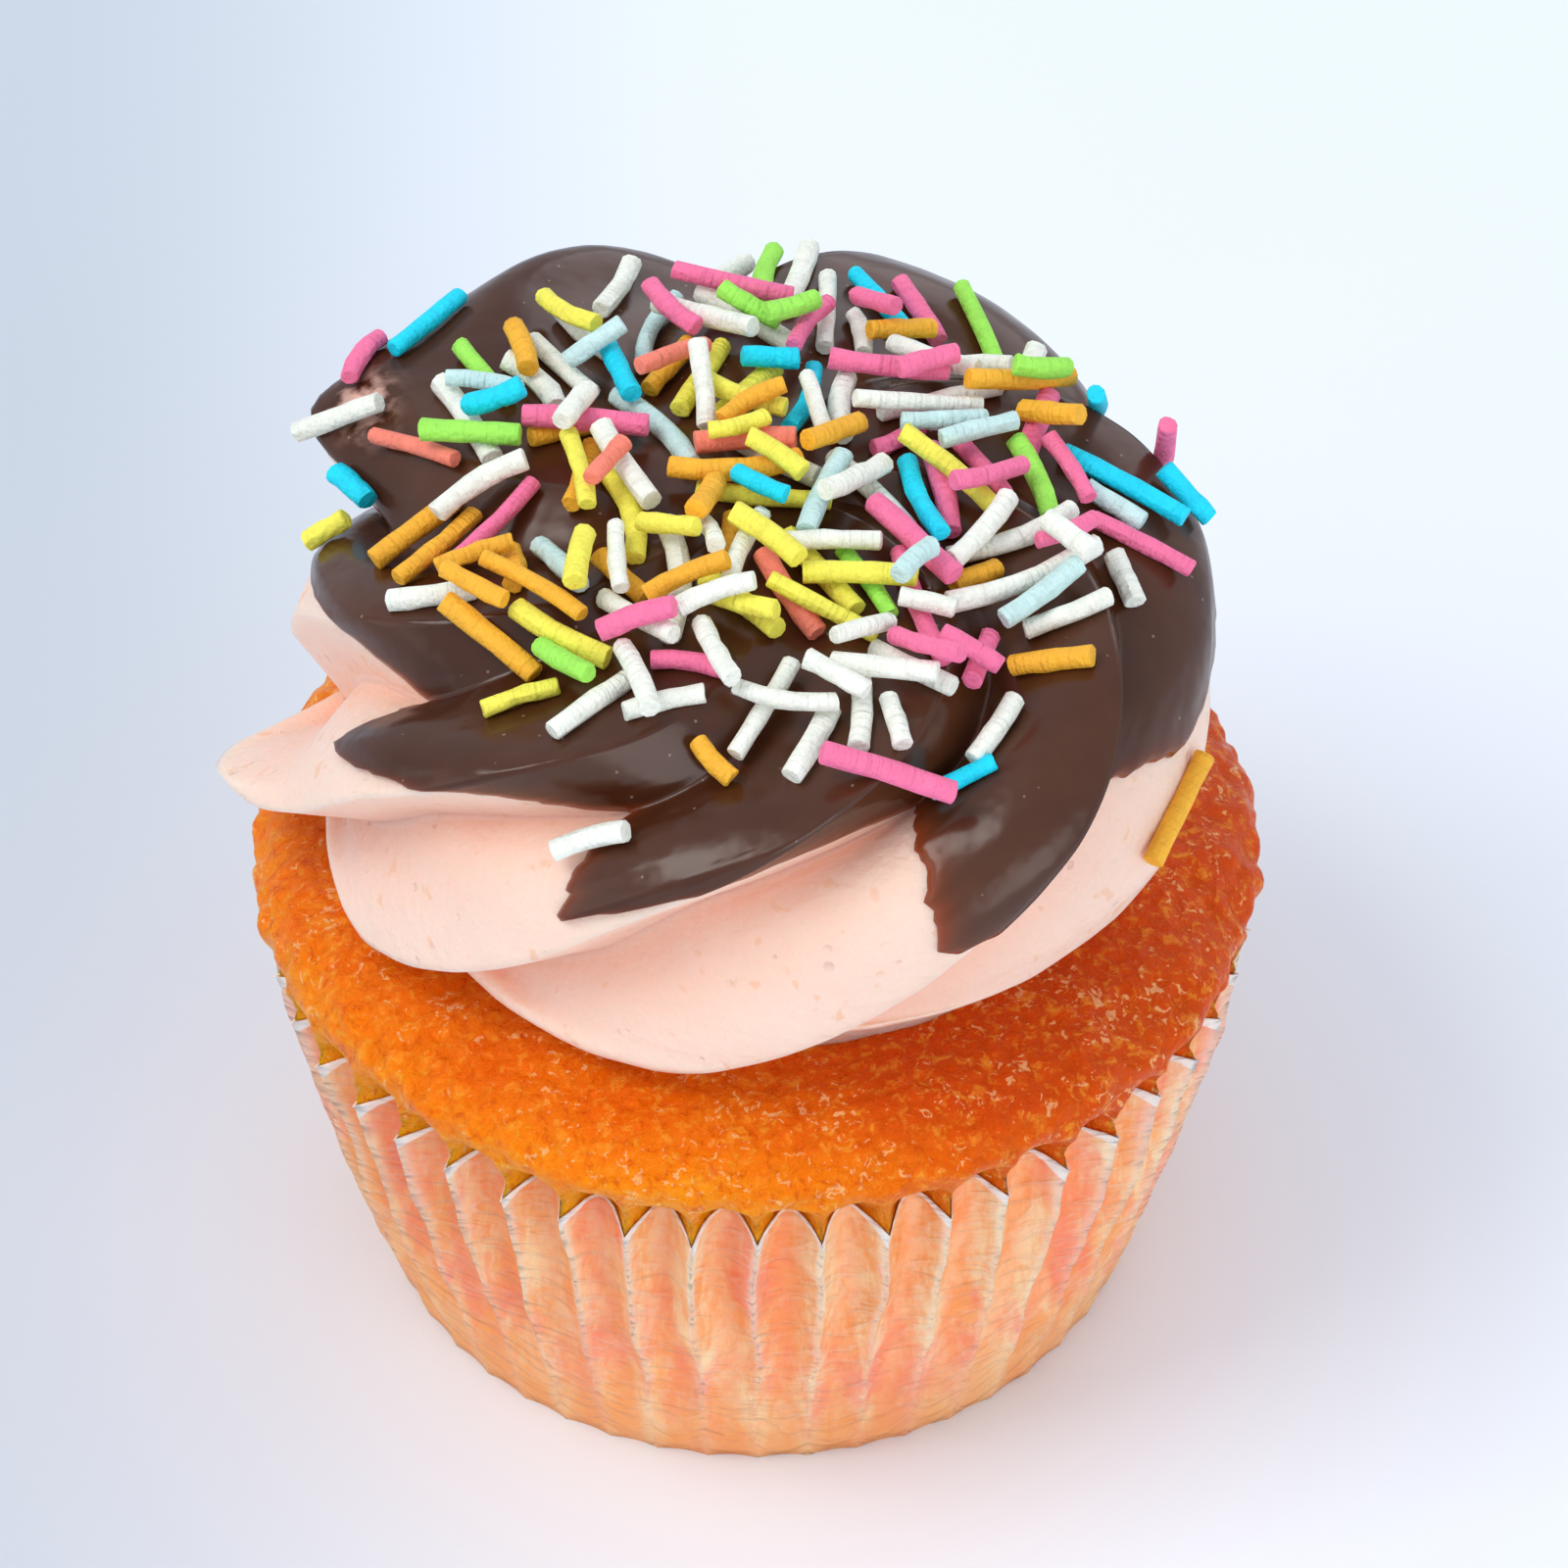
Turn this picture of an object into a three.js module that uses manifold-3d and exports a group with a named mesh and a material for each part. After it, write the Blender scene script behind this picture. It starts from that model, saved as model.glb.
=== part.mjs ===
// A frosted cupcake in its pleated paper case, in millimetres, +Z up, standing on z = 0.
// Four solids: paper case, sponge, piped buttercream and the chocolate coat with its sprinkles.
import * as THREE from 'three';
import { mergeVertices } from 'three/addons/utils/BufferGeometryUtils.js';
import Module from 'manifold-3d';

// Paper case
const PLEATS = 48;
const CASE_BASE_RADIUS = 25.0;
const CASE_RIM_RADIUS = 32.2;
const CASE_HEIGHT = 28.2;
const CASE_BELLY = 0.5;
const PLEAT_DEPTH_BASE = 0.25;
const PLEAT_DEPTH_RIM = 2.9;
const FOLD_RISE = 0.8;
const PAPER_WALL = 0.45;
const CASE_ROWS = 3;

// Sponge: it fills the folds of the case up to the rim, then swells over it and rounds off
const SPONGE_FLOOR = 0.9;
const SPONGE_WALL_TOP = 28.45;
const SPONGE_CLEARANCE = 0.4;
const SPONGE_FOLD_SHARE = 0.1;
// Shoulder: radius, height, and how much of the flutes is left
const SPONGE_SHOULDER = [
  [31.9, 29.5, 0.5], [32.3, 30.6, 0.15], [32.2, 31.7, 0], [31.4, 32.9, 0], [30.0, 33.9, 0],
  [28.3, 34.6, 0], [26.4, 35.0, 0],
];
const SPONGE_TOP = 35.0;
const SPONGE_BUMP = 0.3;

// Piped buttercream: seven ridges that wind up from the foot to the crown
const ICING_CENTRE_X = -0.6;
const ICING_CENTRE_Y = 1.3;
const ICING_FOOT = 35.3;
const OUTLINE_STEPS = [0, 0.09, 0.2, 0.32, 0.45, 0.58, 0.72, 0.86, 1];
const OUTLINE_RADII = [24.4, 28.2, 29.3, 29.7, 28.9, 26.2, 21.0, 12.4, 0];
const OUTLINE_HEIGHTS = [ICING_FOOT, 37.3, 39.8, 44.3, 51.2, 55.8, 58.0, 59.1, 59.6];
const BEARING_STEPS = [0.2, 0.45, 0.7];
const CREST_PHASE = 0.74;
const DEPTH_STEPS = [0, 0.25, 0.5, 0.7, 0.85, 1];
const DEPTH_SHARES = [0.7, 1, 1, 0.7, 0.3, 0];
// Each ridge. bearings: the groove before it, in degrees at the three bearing steps. depth: how deep
// that groove is. foot, crown: how far the ridge reaches out low and high.
const RIDGES = [
  { bearings: [116, 146, 178], depth: 5.6, foot: 0.0, crown: -1.0 },
  { bearings: [178, 194, 218], depth: 4.6, foot: 0.0, crown: 1.0 },
  { bearings: [195, 226, 264], depth: 3.7, foot: 0.5, crown: 0.6 },
  { bearings: [235, 268, 312], depth: 4.4, foot: 0.0, crown: 2.5 },
  { bearings: [285, 318, 352], depth: 3.1, foot: -1.4, crown: -0.3 },
  { bearings: [350, 375, 403], depth: 4.4, foot: 0.0, crown: 1.2 },
  { bearings: [410, 438, 463], depth: 3.0, foot: 0.0, crown: 1.8 },
];
// Lower edge of the chocolate on each ridge. edge: the step it runs down to in the groove before the
// ridge. tip, phase: the lowest step on the ridge, and where. before, after: how it bends on each side.
const COAT_EDGES = [
  { edge: 0.6, tip: 0.45, phase: 0.5, before: 0.45, after: 0.9 },
  { edge: 0.65, tip: 0.45, phase: 0.4, before: 1, after: 1.5 },
  { edge: 0.63, tip: 0.42, phase: 0.6, before: 0.9, after: 0.9 },
  { edge: 0.61, tip: 0.39, phase: 0.66, before: 1, after: 0.9 },
  { edge: 0.45, tip: 0.39, phase: 0.55, before: 1, after: 0.9 },
  { edge: 0.47, tip: 0.4, phase: 0.6, before: 1, after: 0.9 },
  { edge: 0.5, tip: 0.42, phase: 0.6, before: 1, after: 2.5 },
];
const REACH_FOOT_STEP = 0.08;
const REACH_CROWN_STEP = 0.5;
const REACH_SPREAD = 0.16;
// The pointed end of one ridge
const BEAK = { ridge: 1, reach: 5.2, lift: 0.8, step: 0.18, spread: 0.13, phase: 0.55 };
// Round swells: the broken curl that ends the last ridge, and the full back of the same ridge
const SWELLS = [
  { ridge: 6, reach: 5.5, lift: -0.5, step: 0.62, spread: 0.045, phase: 0.84, width: 0.09 },
  { ridge: 6, reach: 2.3, lift: 2.2, step: 0.62, spread: 0.16, phase: 0.3, width: 0.24 },
];
const RIDGE_PHASES = [0, 0.1, 0.28, 0.46, 0.62, CREST_PHASE, 0.83, 0.92];
const ICING_ROWS = 21;
const ICING_LAST_STEP = 0.95;

// Chocolate coat
const COAT_GAP = 0.4;
const COAT_FACE = 1.3;
const COAT_LIP = 0.8;
const COAT_ROWS = 12;
const COAT_TOLERANCE = 0.05;

// Sprinkles: sunk a little into the coat, and clear of the bare buttercream beside it
const SPRINKLE_RADIUS = 0.76;
const SPRINKLE_SINK = 0.3;
const SPRINKLE_CLEAR = 0.2;
const SPRINKLE_TREAD = 0.5;
const SPRINKLE_TOUCHES = 3;
const SPRINKLE_SIDES = 6;
const SPRINKLE_COUNT = 76;
const SPRINKLE_LONGEST = 9.5;
const SPRINKLE_SHORTEST = 3.4;
const SPRINKLE_TRIES = 250;
const SPRINKLE_ROOM = 1.65;
const SPRINKLE_SEED = 20731;
const STEEPEST = 0.5;
const SCATTER_CENTRE_X = 1;
const SCATTER_CENTRE_Y = 2;
const SCATTER_RADIUS = 23;
const SCATTER_POWER = 0.56;
// Sprinkles that stand apart near the edge of the coat: x, y, heading in degrees, length
const STRAYS = [
  [8, -22.5, 177, 8], [12.5, -20, 15, 4], [14.5, -17, 58, 5], [18, -12.5, 170, 5], [9.5, -14.5, 145, 6],
  [0.5, -17, 60, 7], [-2.5, -20.5, 135, 3], [-5.5, -17.5, 13, 5], [-10, -24, 175, 4.5], [16.5, -6.5, 32, 11],
  [24, 0, 162, 6.5], [23, 4.5, 153, 8.5], [27, 5.5, 148, 3.5], [25.5, 10, 100, 4], [21.5, 12, 85, 5],
  [-16.5, -1.5, 48, 8.5], [-12, -5.5, 116, 6], [-26.5, 11.5, 170, 5.5], [-25, 16, 65, 4.5],
  [-21, 18.5, 50, 6.5], [-25.5, 7, 130, 3.5], [-27, 4, 5, 2.6], [-6.5, 18, 77, 9], [8, 21, 124, 6.5],
  [10, -9.5, 106, 9.5], [11.5, 1, 100, 7], [4, -6.5, 125, 7.5], [17.5, 8, 74, 6.5],
];
// One more leans on the side of the buttercream: its ridge, phase and step of each end, and how far out
const LEANING = { ridge: 4, from: [0.49, 0.3], to: [0.61, 0.36], out: 0.9 };
const MAP_CELL = 0.5;
const MAP_HALF = 70;

const DEGREE = Math.PI / 180;

/** A smooth curve through a table, carried straight on past both ends. */
function smooth(steps, values, at) {
  const last = steps.length - 1;
  const slope = (i) => (values[i + 1] - values[i]) / (steps[i + 1] - steps[i]);
  const tangent = (i) => {
    if (i === 0) return slope(0);
    if (i === last) return slope(last - 1);
    const before = steps[i] - steps[i - 1];
    const after = steps[i + 1] - steps[i];
    return (slope(i - 1) * after + slope(i) * before) / (before + after);
  };
  if (at <= steps[0]) return values[0] + (at - steps[0]) * tangent(0);
  if (at >= steps[last]) return values[last] + (at - steps[last]) * tangent(last);
  let i = 0;
  while (at > steps[i + 1]) i += 1;
  const width = steps[i + 1] - steps[i];
  const t = (at - steps[i]) / width;
  const rest = 1 - t;
  return values[i] * (1 + 2 * t) * rest * rest + values[i + 1] * t * t * (3 - 2 * t)
    + width * tangent(i) * t * rest * rest - width * tangent(i + 1) * t * t * rest;
}

/** A bell of height one round a middle value. */
function bell(at, middle, spread) {
  return Math.exp(-(((at - middle) / spread) ** 2));
}

/** Bearing in degrees of a groove at a step of the way up; groove seven is groove nought again. */
function grooveBearing(groove, step) {
  const turns = Math.floor(groove / RIDGES.length);
  const row = RIDGES[groove % RIDGES.length];
  return smooth(BEARING_STEPS, row.bearings, step) + 360 * turns;
}

/** How far a ridge stands up across its width: a full face to the crest, then a short drop. */
function ridgeWave(phase) {
  if (phase < CREST_PHASE) return Math.sin(0.42 * Math.PI * phase / CREST_PHASE) / Math.sin(0.42 * Math.PI);
  return ((1 - phase) / (1 - CREST_PHASE)) ** 1.25;
}

/** A point of the buttercream's face, moved off it by an offset along the plain outline's normal. */
function icingPoint(ridge, phase, step, offset) {
  const row = RIDGES[ridge];
  const next = RIDGES[(ridge + 1) % RIDGES.length];
  const near = 0.001;
  const low = Math.max(step - near, 0);
  const high = Math.min(step + near, 1);
  const along = new THREE.Vector2(
    smooth(OUTLINE_STEPS, OUTLINE_RADII, high) - smooth(OUTLINE_STEPS, OUTLINE_RADII, low),
    smooth(OUTLINE_STEPS, OUTLINE_HEIGHTS, high) - smooth(OUTLINE_STEPS, OUTLINE_HEIGHTS, low),
  ).normalize();
  const wave = ridgeWave(phase);
  const depth = (row.depth * (1 - phase) + next.depth * phase) * smooth(DEPTH_STEPS, DEPTH_SHARES, step);
  const reach = row.foot * bell(step, REACH_FOOT_STEP, REACH_SPREAD)
    + row.crown * bell(step, REACH_CROWN_STEP, REACH_SPREAD);
  const out = wave * reach - depth * (1 - wave) + offset;
  let radius = smooth(OUTLINE_STEPS, OUTLINE_RADII, step) + along.y * out;
  let height = smooth(OUTLINE_STEPS, OUTLINE_HEIGHTS, step) - along.x * out;
  if (ridge === BEAK.ridge) {
    const across = Math.max(1 - Math.abs(phase - BEAK.phase) / BEAK.phase, 0);
    const swell = bell(step, BEAK.step, BEAK.spread) * across;
    radius += BEAK.reach * swell;
    height += BEAK.lift * swell;
  }
  SWELLS.filter((local) => local.ridge === ridge).forEach((local) => {
    const swell = bell(step, local.step, local.spread) * bell(phase, local.phase, local.width);
    radius += local.reach * swell;
    height += local.lift * swell;
  });
  const from = grooveBearing(ridge, step);
  const to = grooveBearing(ridge + 1, step);
  const bearing = (from + (to - from) * phase) * DEGREE;
  return new THREE.Vector3(
    ICING_CENTRE_X + radius * Math.cos(bearing),
    ICING_CENTRE_Y + radius * Math.sin(bearing),
    height,
  );
}

/** The step at which the chocolate starts, for a phase of a ridge. */
function coatEdge(ridge, phase) {
  const row = COAT_EDGES[ridge];
  const next = COAT_EDGES[(ridge + 1) % COAT_EDGES.length];
  if (phase < row.phase) return row.edge + (row.tip - row.edge) * (phase / row.phase) ** row.before;
  return row.tip + (next.edge - row.tip) * ((phase - row.phase) / (1 - row.phase)) ** row.after;
}

/** Ridge and phase of every column round the buttercream. */
function icingColumns() {
  const columns = [];
  RIDGES.forEach((row, ridge) => RIDGE_PHASES.forEach((phase) => columns.push({ ridge, phase })));
  return columns;
}

/** A closed body from a pole, rings of equal length and a second pole; it faces out when rings climb. */
function ringBody(firstPole, rings, lastPole) {
  const count = rings[0].length;
  const positions = [];
  const faces = [];
  const push = (point) => positions.push(point.x, point.y, point.z);
  push(firstPole);
  rings.forEach((ring) => ring.forEach(push));
  push(lastPole);
  const end = 1 + rings.length * count;
  for (let j = 0; j < count; j += 1) {
    const k = (j + 1) % count;
    faces.push(0, 1 + k, 1 + j);
    for (let i = 0; i + 1 < rings.length; i += 1) {
      const a = 1 + i * count + j;
      const b = 1 + i * count + k;
      faces.push(a, b, b + count, a, b + count, a + count);
    }
    faces.push(end - count + j, end - count + k, end);
  }
  const geometry = new THREE.BufferGeometry();
  geometry.setAttribute('position', new THREE.Float32BufferAttribute(positions, 3));
  geometry.setIndex(faces);
  return geometry;
}

/** Ring of points from a radius and height for each column number. */
function ring(count, radiusAt, heightAt) {
  const points = [];
  for (let j = 0; j < count; j += 1) {
    const bearing = (2 * Math.PI * j) / count;
    points.push(new THREE.Vector3(
      radiusAt(j) * Math.cos(bearing),
      radiusAt(j) * Math.sin(bearing),
      heightAt(j),
    ));
  }
  return points;
}

/** Radius of the paper's outer folds at a share of the way up the case. */
function foldRadius(share) {
  const belly = CASE_BELLY * Math.sin(Math.PI * share);
  return CASE_BASE_RADIUS + (CASE_RIM_RADIUS - CASE_BASE_RADIUS) * share + belly;
}

/** Depth of the pleats at a share of the way up the case. */
function pleatDepth(share) {
  return PLEAT_DEPTH_BASE + (PLEAT_DEPTH_RIM - PLEAT_DEPTH_BASE) * share ** 1.2;
}

/** The pleated paper case: a thin wall folded into sharp pleats, on a flat floor. */
function paperCase() {
  const count = 2 * PLEATS;
  const outer = [];
  const inner = [];
  for (let i = 0; i <= CASE_ROWS; i += 1) {
    const share = i / CASE_ROWS;
    const rise = i === CASE_ROWS ? FOLD_RISE : 0;
    const radiusAt = (j) => foldRadius(share) - (j % 2) * pleatDepth(share);
    const heightAt = (j) => CASE_HEIGHT * share + (j % 2) * rise - rise;
    outer.push(ring(count, radiusAt, heightAt));
    inner.push(ring(
      count,
      (j) => radiusAt(j) - PAPER_WALL,
      (j) => Math.max(heightAt(j), PAPER_WALL),
    ));
  }
  inner.reverse();
  return ringBody(
    new THREE.Vector3(0, 0, 0),
    [...outer, ...inner],
    new THREE.Vector3(0, 0, PAPER_WALL),
  );
}

/** The sponge: a fluted wall inside the paper under a rounded, slightly uneven shoulder. */
function sponge() {
  const count = 2 * PLEATS;
  const flute = (j) => (j % 2 ? 1 : SPONGE_FOLD_SHARE);
  const rings = [SPONGE_FLOOR, (SPONGE_FLOOR + SPONGE_WALL_TOP) / 2, SPONGE_WALL_TOP].map((height) => {
    const share = height / CASE_HEIGHT;
    const face = foldRadius(share) - PAPER_WALL - SPONGE_CLEARANCE;
    return ring(count, (j) => face - flute(j) * pleatDepth(share), () => height);
  });
  SPONGE_SHOULDER.forEach(([radius, height, left], i) => {
    const bump = (j) => {
      const bearing = (2 * Math.PI * j) / count;
      return SPONGE_BUMP * (0.6 * Math.sin(5 * bearing + i) + 0.4 * Math.sin(11 * bearing + 2 * i));
    };
    const swell = (j) => (i > 1 ? bump(j) : 0) - left * flute(j) * PLEAT_DEPTH_RIM;
    rings.push(ring(count, (j) => radius + swell(j), () => height));
  });
  return ringBody(
    new THREE.Vector3(0, 0, SPONGE_FLOOR),
    rings,
    new THREE.Vector3(0, 0, SPONGE_TOP),
  );
}

/** The twisted buttercream on its flat foot. */
function pipedSwirl() {
  const columns = icingColumns();
  const rings = [];
  for (let i = 0; i < ICING_ROWS; i += 1) {
    const step = (ICING_LAST_STEP * i) / (ICING_ROWS - 1);
    rings.push(columns.map(({ ridge, phase }) => {
      const point = icingPoint(ridge, phase, step, 0);
      point.z = Math.max(point.z, ICING_FOOT);
      return point;
    }));
  }
  rings[0].forEach((point) => { point.z = ICING_FOOT; });
  const crown = OUTLINE_HEIGHTS[OUTLINE_HEIGHTS.length - 1];
  return ringBody(
    new THREE.Vector3(ICING_CENTRE_X, ICING_CENTRE_Y, ICING_FOOT),
    rings,
    new THREE.Vector3(ICING_CENTRE_X, ICING_CENTRE_Y, crown),
  );
}

/** One face of the chocolate coat as rings from its edge up, at a distance off the buttercream. */
function coatRings(offset, edgeOffset) {
  const rings = [];
  for (let i = 0; i < COAT_ROWS; i += 1) {
    rings.push(icingColumns().map(({ ridge, phase }) => {
      const edge = coatEdge(ridge, phase);
      const step = edge + (ICING_LAST_STEP - edge) * (i / (COAT_ROWS - 1));
      return icingPoint(ridge, phase, step, i === 0 ? edgeOffset : offset);
    }));
  }
  return rings;
}

/** The chocolate coat: a shell over the crown that runs down in a tongue on each ridge. */
function chocolateCoat() {
  const inner = coatRings(COAT_GAP, COAT_GAP).reverse();
  const outer = coatRings(COAT_FACE, COAT_LIP);
  const crown = OUTLINE_HEIGHTS[OUTLINE_HEIGHTS.length - 1];
  return ringBody(
    new THREE.Vector3(ICING_CENTRE_X, ICING_CENTRE_Y, crown + COAT_GAP),
    [...inner, ...outer],
    new THREE.Vector3(ICING_CENTRE_X, ICING_CENTRE_Y, crown + COAT_FACE),
  );
}

/** A seeded source of numbers from nought to one. */
function numbers(seed) {
  let state = seed >>> 0;
  return () => {
    state = (Math.imul(state, 1664525) + 1013904223) >>> 0;
    return state / 4294967296;
  };
}

/** Grid cell over a point. */
function cellAt(x, y) {
  const column = Math.round(x / MAP_CELL) + MAP_HALF;
  const row = Math.round(y / MAP_CELL) + MAP_HALF;
  return row * (2 * MAP_HALF + 1) + column;
}

/** What lies on top, seen from above: its height on a square grid, and whether it is chocolate. */
function topMap() {
  const size = (2 * MAP_HALF + 1) ** 2;
  const heights = new Float64Array(size).fill(-1);
  const coated = new Uint8Array(size);
  const phases = 60;
  const steps = 240;
  for (let ridge = 0; ridge < RIDGES.length; ridge += 1) {
    for (let i = 0; i < phases; i += 1) {
      const phase = i / phases;
      const edge = coatEdge(ridge, phase);
      for (let j = 40; j <= steps; j += 1) {
        const step = j / steps;
        const chocolate = step >= edge;
        const point = icingPoint(ridge, phase, step, chocolate ? COAT_FACE : SPRINKLE_CLEAR);
        const height = chocolate ? point.z : point.z + SPRINKLE_SINK;
        const cell = cellAt(point.x, point.y);
        if (height > heights[cell]) {
          heights[cell] = height;
          coated[cell] = chocolate ? 1 : 0;
        }
      }
    }
  }
  return { heights, coated };
}

/** How a rod comes to rest on a row of heights: its height over the middle one, and its rise per step. */
function settle(heights) {
  const middle = (heights.length - 1) / 2;
  const before = heights.slice(0, middle).map((height, i) => (heights[middle] - height) / (middle - i));
  const after = heights.slice(middle + 1).map((height, i) => (height - heights[middle]) / (i + 1));
  let rest = { height: heights[middle], rise: (Math.min(...before) + Math.max(...after)) / 2 };
  for (let i = 0; i < middle; i += 1) {
    for (let j = middle + 1; j < heights.length; j += 1) {
      const rise = (heights[j] - heights[i]) / (j - i);
      const height = heights[i] + rise * (middle - i);
      if (height > rest.height) rest = { height, rise };
    }
  }
  return rest;
}

/** Ends of a sprinkle laid along a line on what lies under it, and whether it lies steady on chocolate. */
function layDown(map, x, y, heading, length) {
  const samples = 9;
  const heights = [];
  let onCoat = true;
  for (let i = 0; i < samples; i += 1) {
    const along = length * (i / (samples - 1) - 0.5);
    const cells = [-SPRINKLE_TREAD, 0, SPRINKLE_TREAD].map((across) => cellAt(
      x + along * Math.cos(heading) - across * Math.sin(heading),
      y + along * Math.sin(heading) + across * Math.cos(heading),
    ));
    heights.push(Math.max(...cells.map((cell) => map.heights[cell])));
    onCoat = onCoat && cells.every((cell) => map.coated[cell] === 1);
  }
  const rest = settle(heights);
  const half = (samples - 1) / 2;
  const touching = heights.filter((height, i) => (
    height > rest.height + rest.rise * (i - half) - SPRINKLE_SINK
  )).length;
  const middle = rest.height + SPRINKLE_RADIUS - SPRINKLE_SINK;
  const rise = rest.rise * (samples - 1);
  const run = new THREE.Vector3(length * Math.cos(heading), length * Math.sin(heading), rise);
  const reach = run.multiplyScalar(0.5);
  const centre = new THREE.Vector3(x, y, middle);
  return {
    ends: [centre.clone().sub(reach), centre.clone().add(reach)],
    steady: onCoat && Math.abs(rise) / length < STEEPEST && touching >= SPRINKLE_TOUCHES,
  };
}

/** Least distance in plan between two sprinkles, sampled along both. */
function planGap(one, other) {
  const samples = 7;
  let least = Infinity;
  for (let i = 0; i < samples; i += 1) {
    const a = one[0].clone().lerp(one[1], i / (samples - 1));
    for (let j = 0; j < samples; j += 1) {
      const b = other[0].clone().lerp(other[1], j / (samples - 1));
      least = Math.min(least, Math.hypot(a.x - b.x, a.y - b.y));
    }
  }
  return least;
}

/** Ends of every sprinkle: the strays, then the rest from the longest, where the draws find room. */
function scatter() {
  const next = numbers(SPRINKLE_SEED);
  const map = topMap();
  const placed = STRAYS.map(([x, y, heading, length]) => layDown(map, x, y, heading * DEGREE, length).ends);
  for (let i = 0; i < SPRINKLE_COUNT; i += 1) {
    const share = i / (SPRINKLE_COUNT - 1);
    const length = SPRINKLE_LONGEST + (SPRINKLE_SHORTEST - SPRINKLE_LONGEST) * share ** 0.6;
    for (let tries = 0; tries < SPRINKLE_TRIES; tries += 1) {
      const radius = SCATTER_RADIUS * next() ** SCATTER_POWER;
      const bearing = 2 * Math.PI * next();
      const x = SCATTER_CENTRE_X + radius * Math.cos(bearing);
      const y = SCATTER_CENTRE_Y + radius * Math.sin(bearing);
      const laid = layDown(map, x, y, Math.PI * next(), length);
      if (laid.steady && placed.every((other) => planGap(laid.ends, other) > SPRINKLE_ROOM)) {
        placed.push(laid.ends);
        break;
      }
    }
  }
  return placed;
}

/** A sprinkle as a blunt six-sided rod between two ends. */
function sprinkle([from, to]) {
  const length = from.distanceTo(to);
  const rod = new THREE.CylinderGeometry(SPRINKLE_RADIUS, SPRINKLE_RADIUS, length, SPRINKLE_SIDES, 1);
  const direction = to.clone().sub(from).normalize();
  const turn = new THREE.Quaternion().setFromUnitVectors(new THREE.Vector3(0, 1, 0), direction);
  rod.applyQuaternion(turn);
  const middle = from.clone().add(to).multiplyScalar(0.5);
  rod.translate(middle.x, middle.y, middle.z);
  return rod;
}

const wasm = await Module();
wasm.setup();

/** A manifold solid from a geometry. */
function toSolid(geometry) {
  const plain = geometry.clone();
  plain.deleteAttribute('normal');
  plain.deleteAttribute('uv');
  const merged = mergeVertices(plain, 1e-5);
  return new wasm.Manifold(new wasm.Mesh({
    numProp: 3,
    vertProperties: new Float32Array(merged.attributes.position.array),
    triVerts: new Uint32Array(merged.index.array),
  }));
}

/** The largest piece of a solid, as a geometry. */
function toGeometry(solid) {
  const pieces = solid.decompose();
  pieces.sort((a, b) => b.volume() - a.volume());
  const mesh = pieces[0].getMesh();
  const geometry = new THREE.BufferGeometry();
  geometry.setAttribute('position', new THREE.Float32BufferAttribute(mesh.vertProperties, 3));
  geometry.setIndex(new THREE.Uint32BufferAttribute(mesh.triVerts, 1));
  return geometry;
}

/** The buttercream with the one sprinkle that leans on its side. */
function buttercream() {
  const { ridge, from, to, out } = LEANING;
  const ends = [from, to].map(([phase, step]) => icingPoint(ridge, phase, step, out));
  return toGeometry(toSolid(pipedSwirl()).add(toSolid(sprinkle(ends))));
}

/** The coat with every sprinkle fused to it. */
function sprinkledCoat() {
  let solid = toSolid(chocolateCoat()).simplify(COAT_TOLERANCE);
  scatter().forEach((ends) => { solid = solid.add(toSolid(sprinkle(ends))); });
  return toGeometry(solid.simplify(COAT_TOLERANCE));
}

/** A named mesh with its own finish. */
function piece(name, geometry, color, roughness) {
  const material = new THREE.MeshStandardMaterial({ color, roughness, metalness: 0 });
  const mesh = new THREE.Mesh(geometry, material);
  mesh.name = name;
  return mesh;
}

const cupcake = new THREE.Group();
cupcake.name = 'cupcake';
cupcake.add(piece('paper_case', paperCase(), '#f2ae78', 0.6));
cupcake.add(piece('sponge', sponge(), '#ee7a12', 0.45));
cupcake.add(piece('buttercream', buttercream(), '#fbd5c5', 0.5));
cupcake.add(piece('chocolate_coat', sprinkledCoat(), '#3f2822', 0.4));

export default cupcake;
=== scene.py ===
"""A frosted cupcake in a pleated paper case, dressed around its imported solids.

Shapes are worked out in millimetres, +Z up, and turned to metres when a mesh is made.
"""

import logging
import math
from dataclasses import dataclass, field
from enum import Enum
from typing import Any, Iterator, NamedTuple, Sequence

import bpy
import numpy as np
from mathutils import Euler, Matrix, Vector, noise


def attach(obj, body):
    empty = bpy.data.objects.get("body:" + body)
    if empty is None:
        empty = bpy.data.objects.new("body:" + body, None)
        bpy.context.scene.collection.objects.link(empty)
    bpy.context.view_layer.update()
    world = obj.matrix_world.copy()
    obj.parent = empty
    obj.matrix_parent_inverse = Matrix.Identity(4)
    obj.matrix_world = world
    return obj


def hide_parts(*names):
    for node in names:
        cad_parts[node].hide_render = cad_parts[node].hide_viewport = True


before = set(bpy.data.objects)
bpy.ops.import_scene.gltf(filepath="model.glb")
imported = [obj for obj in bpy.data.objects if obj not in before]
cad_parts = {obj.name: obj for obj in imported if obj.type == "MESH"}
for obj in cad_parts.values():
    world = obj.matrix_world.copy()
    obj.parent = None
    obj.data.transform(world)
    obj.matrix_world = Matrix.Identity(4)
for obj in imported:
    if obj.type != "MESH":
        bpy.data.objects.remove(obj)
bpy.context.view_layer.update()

LOG = logging.getLogger("cupcake")
MM = 0.001
Triple = tuple[float, float, float]
Tree, Node, Socket = bpy.types.NodeTree, bpy.types.Node, bpy.types.NodeSocket
Piece, Material = bpy.types.Object, bpy.types.Material
SOFT = {"interpolation_type": "SMOOTHSTEP"}  # a Map Range that eases in and out
FADE_END = 1.12  # crumpling is gone at this many times the height where it starts to fade


# ---------------------------------------------------------------------------------------------
# Small helpers


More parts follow.
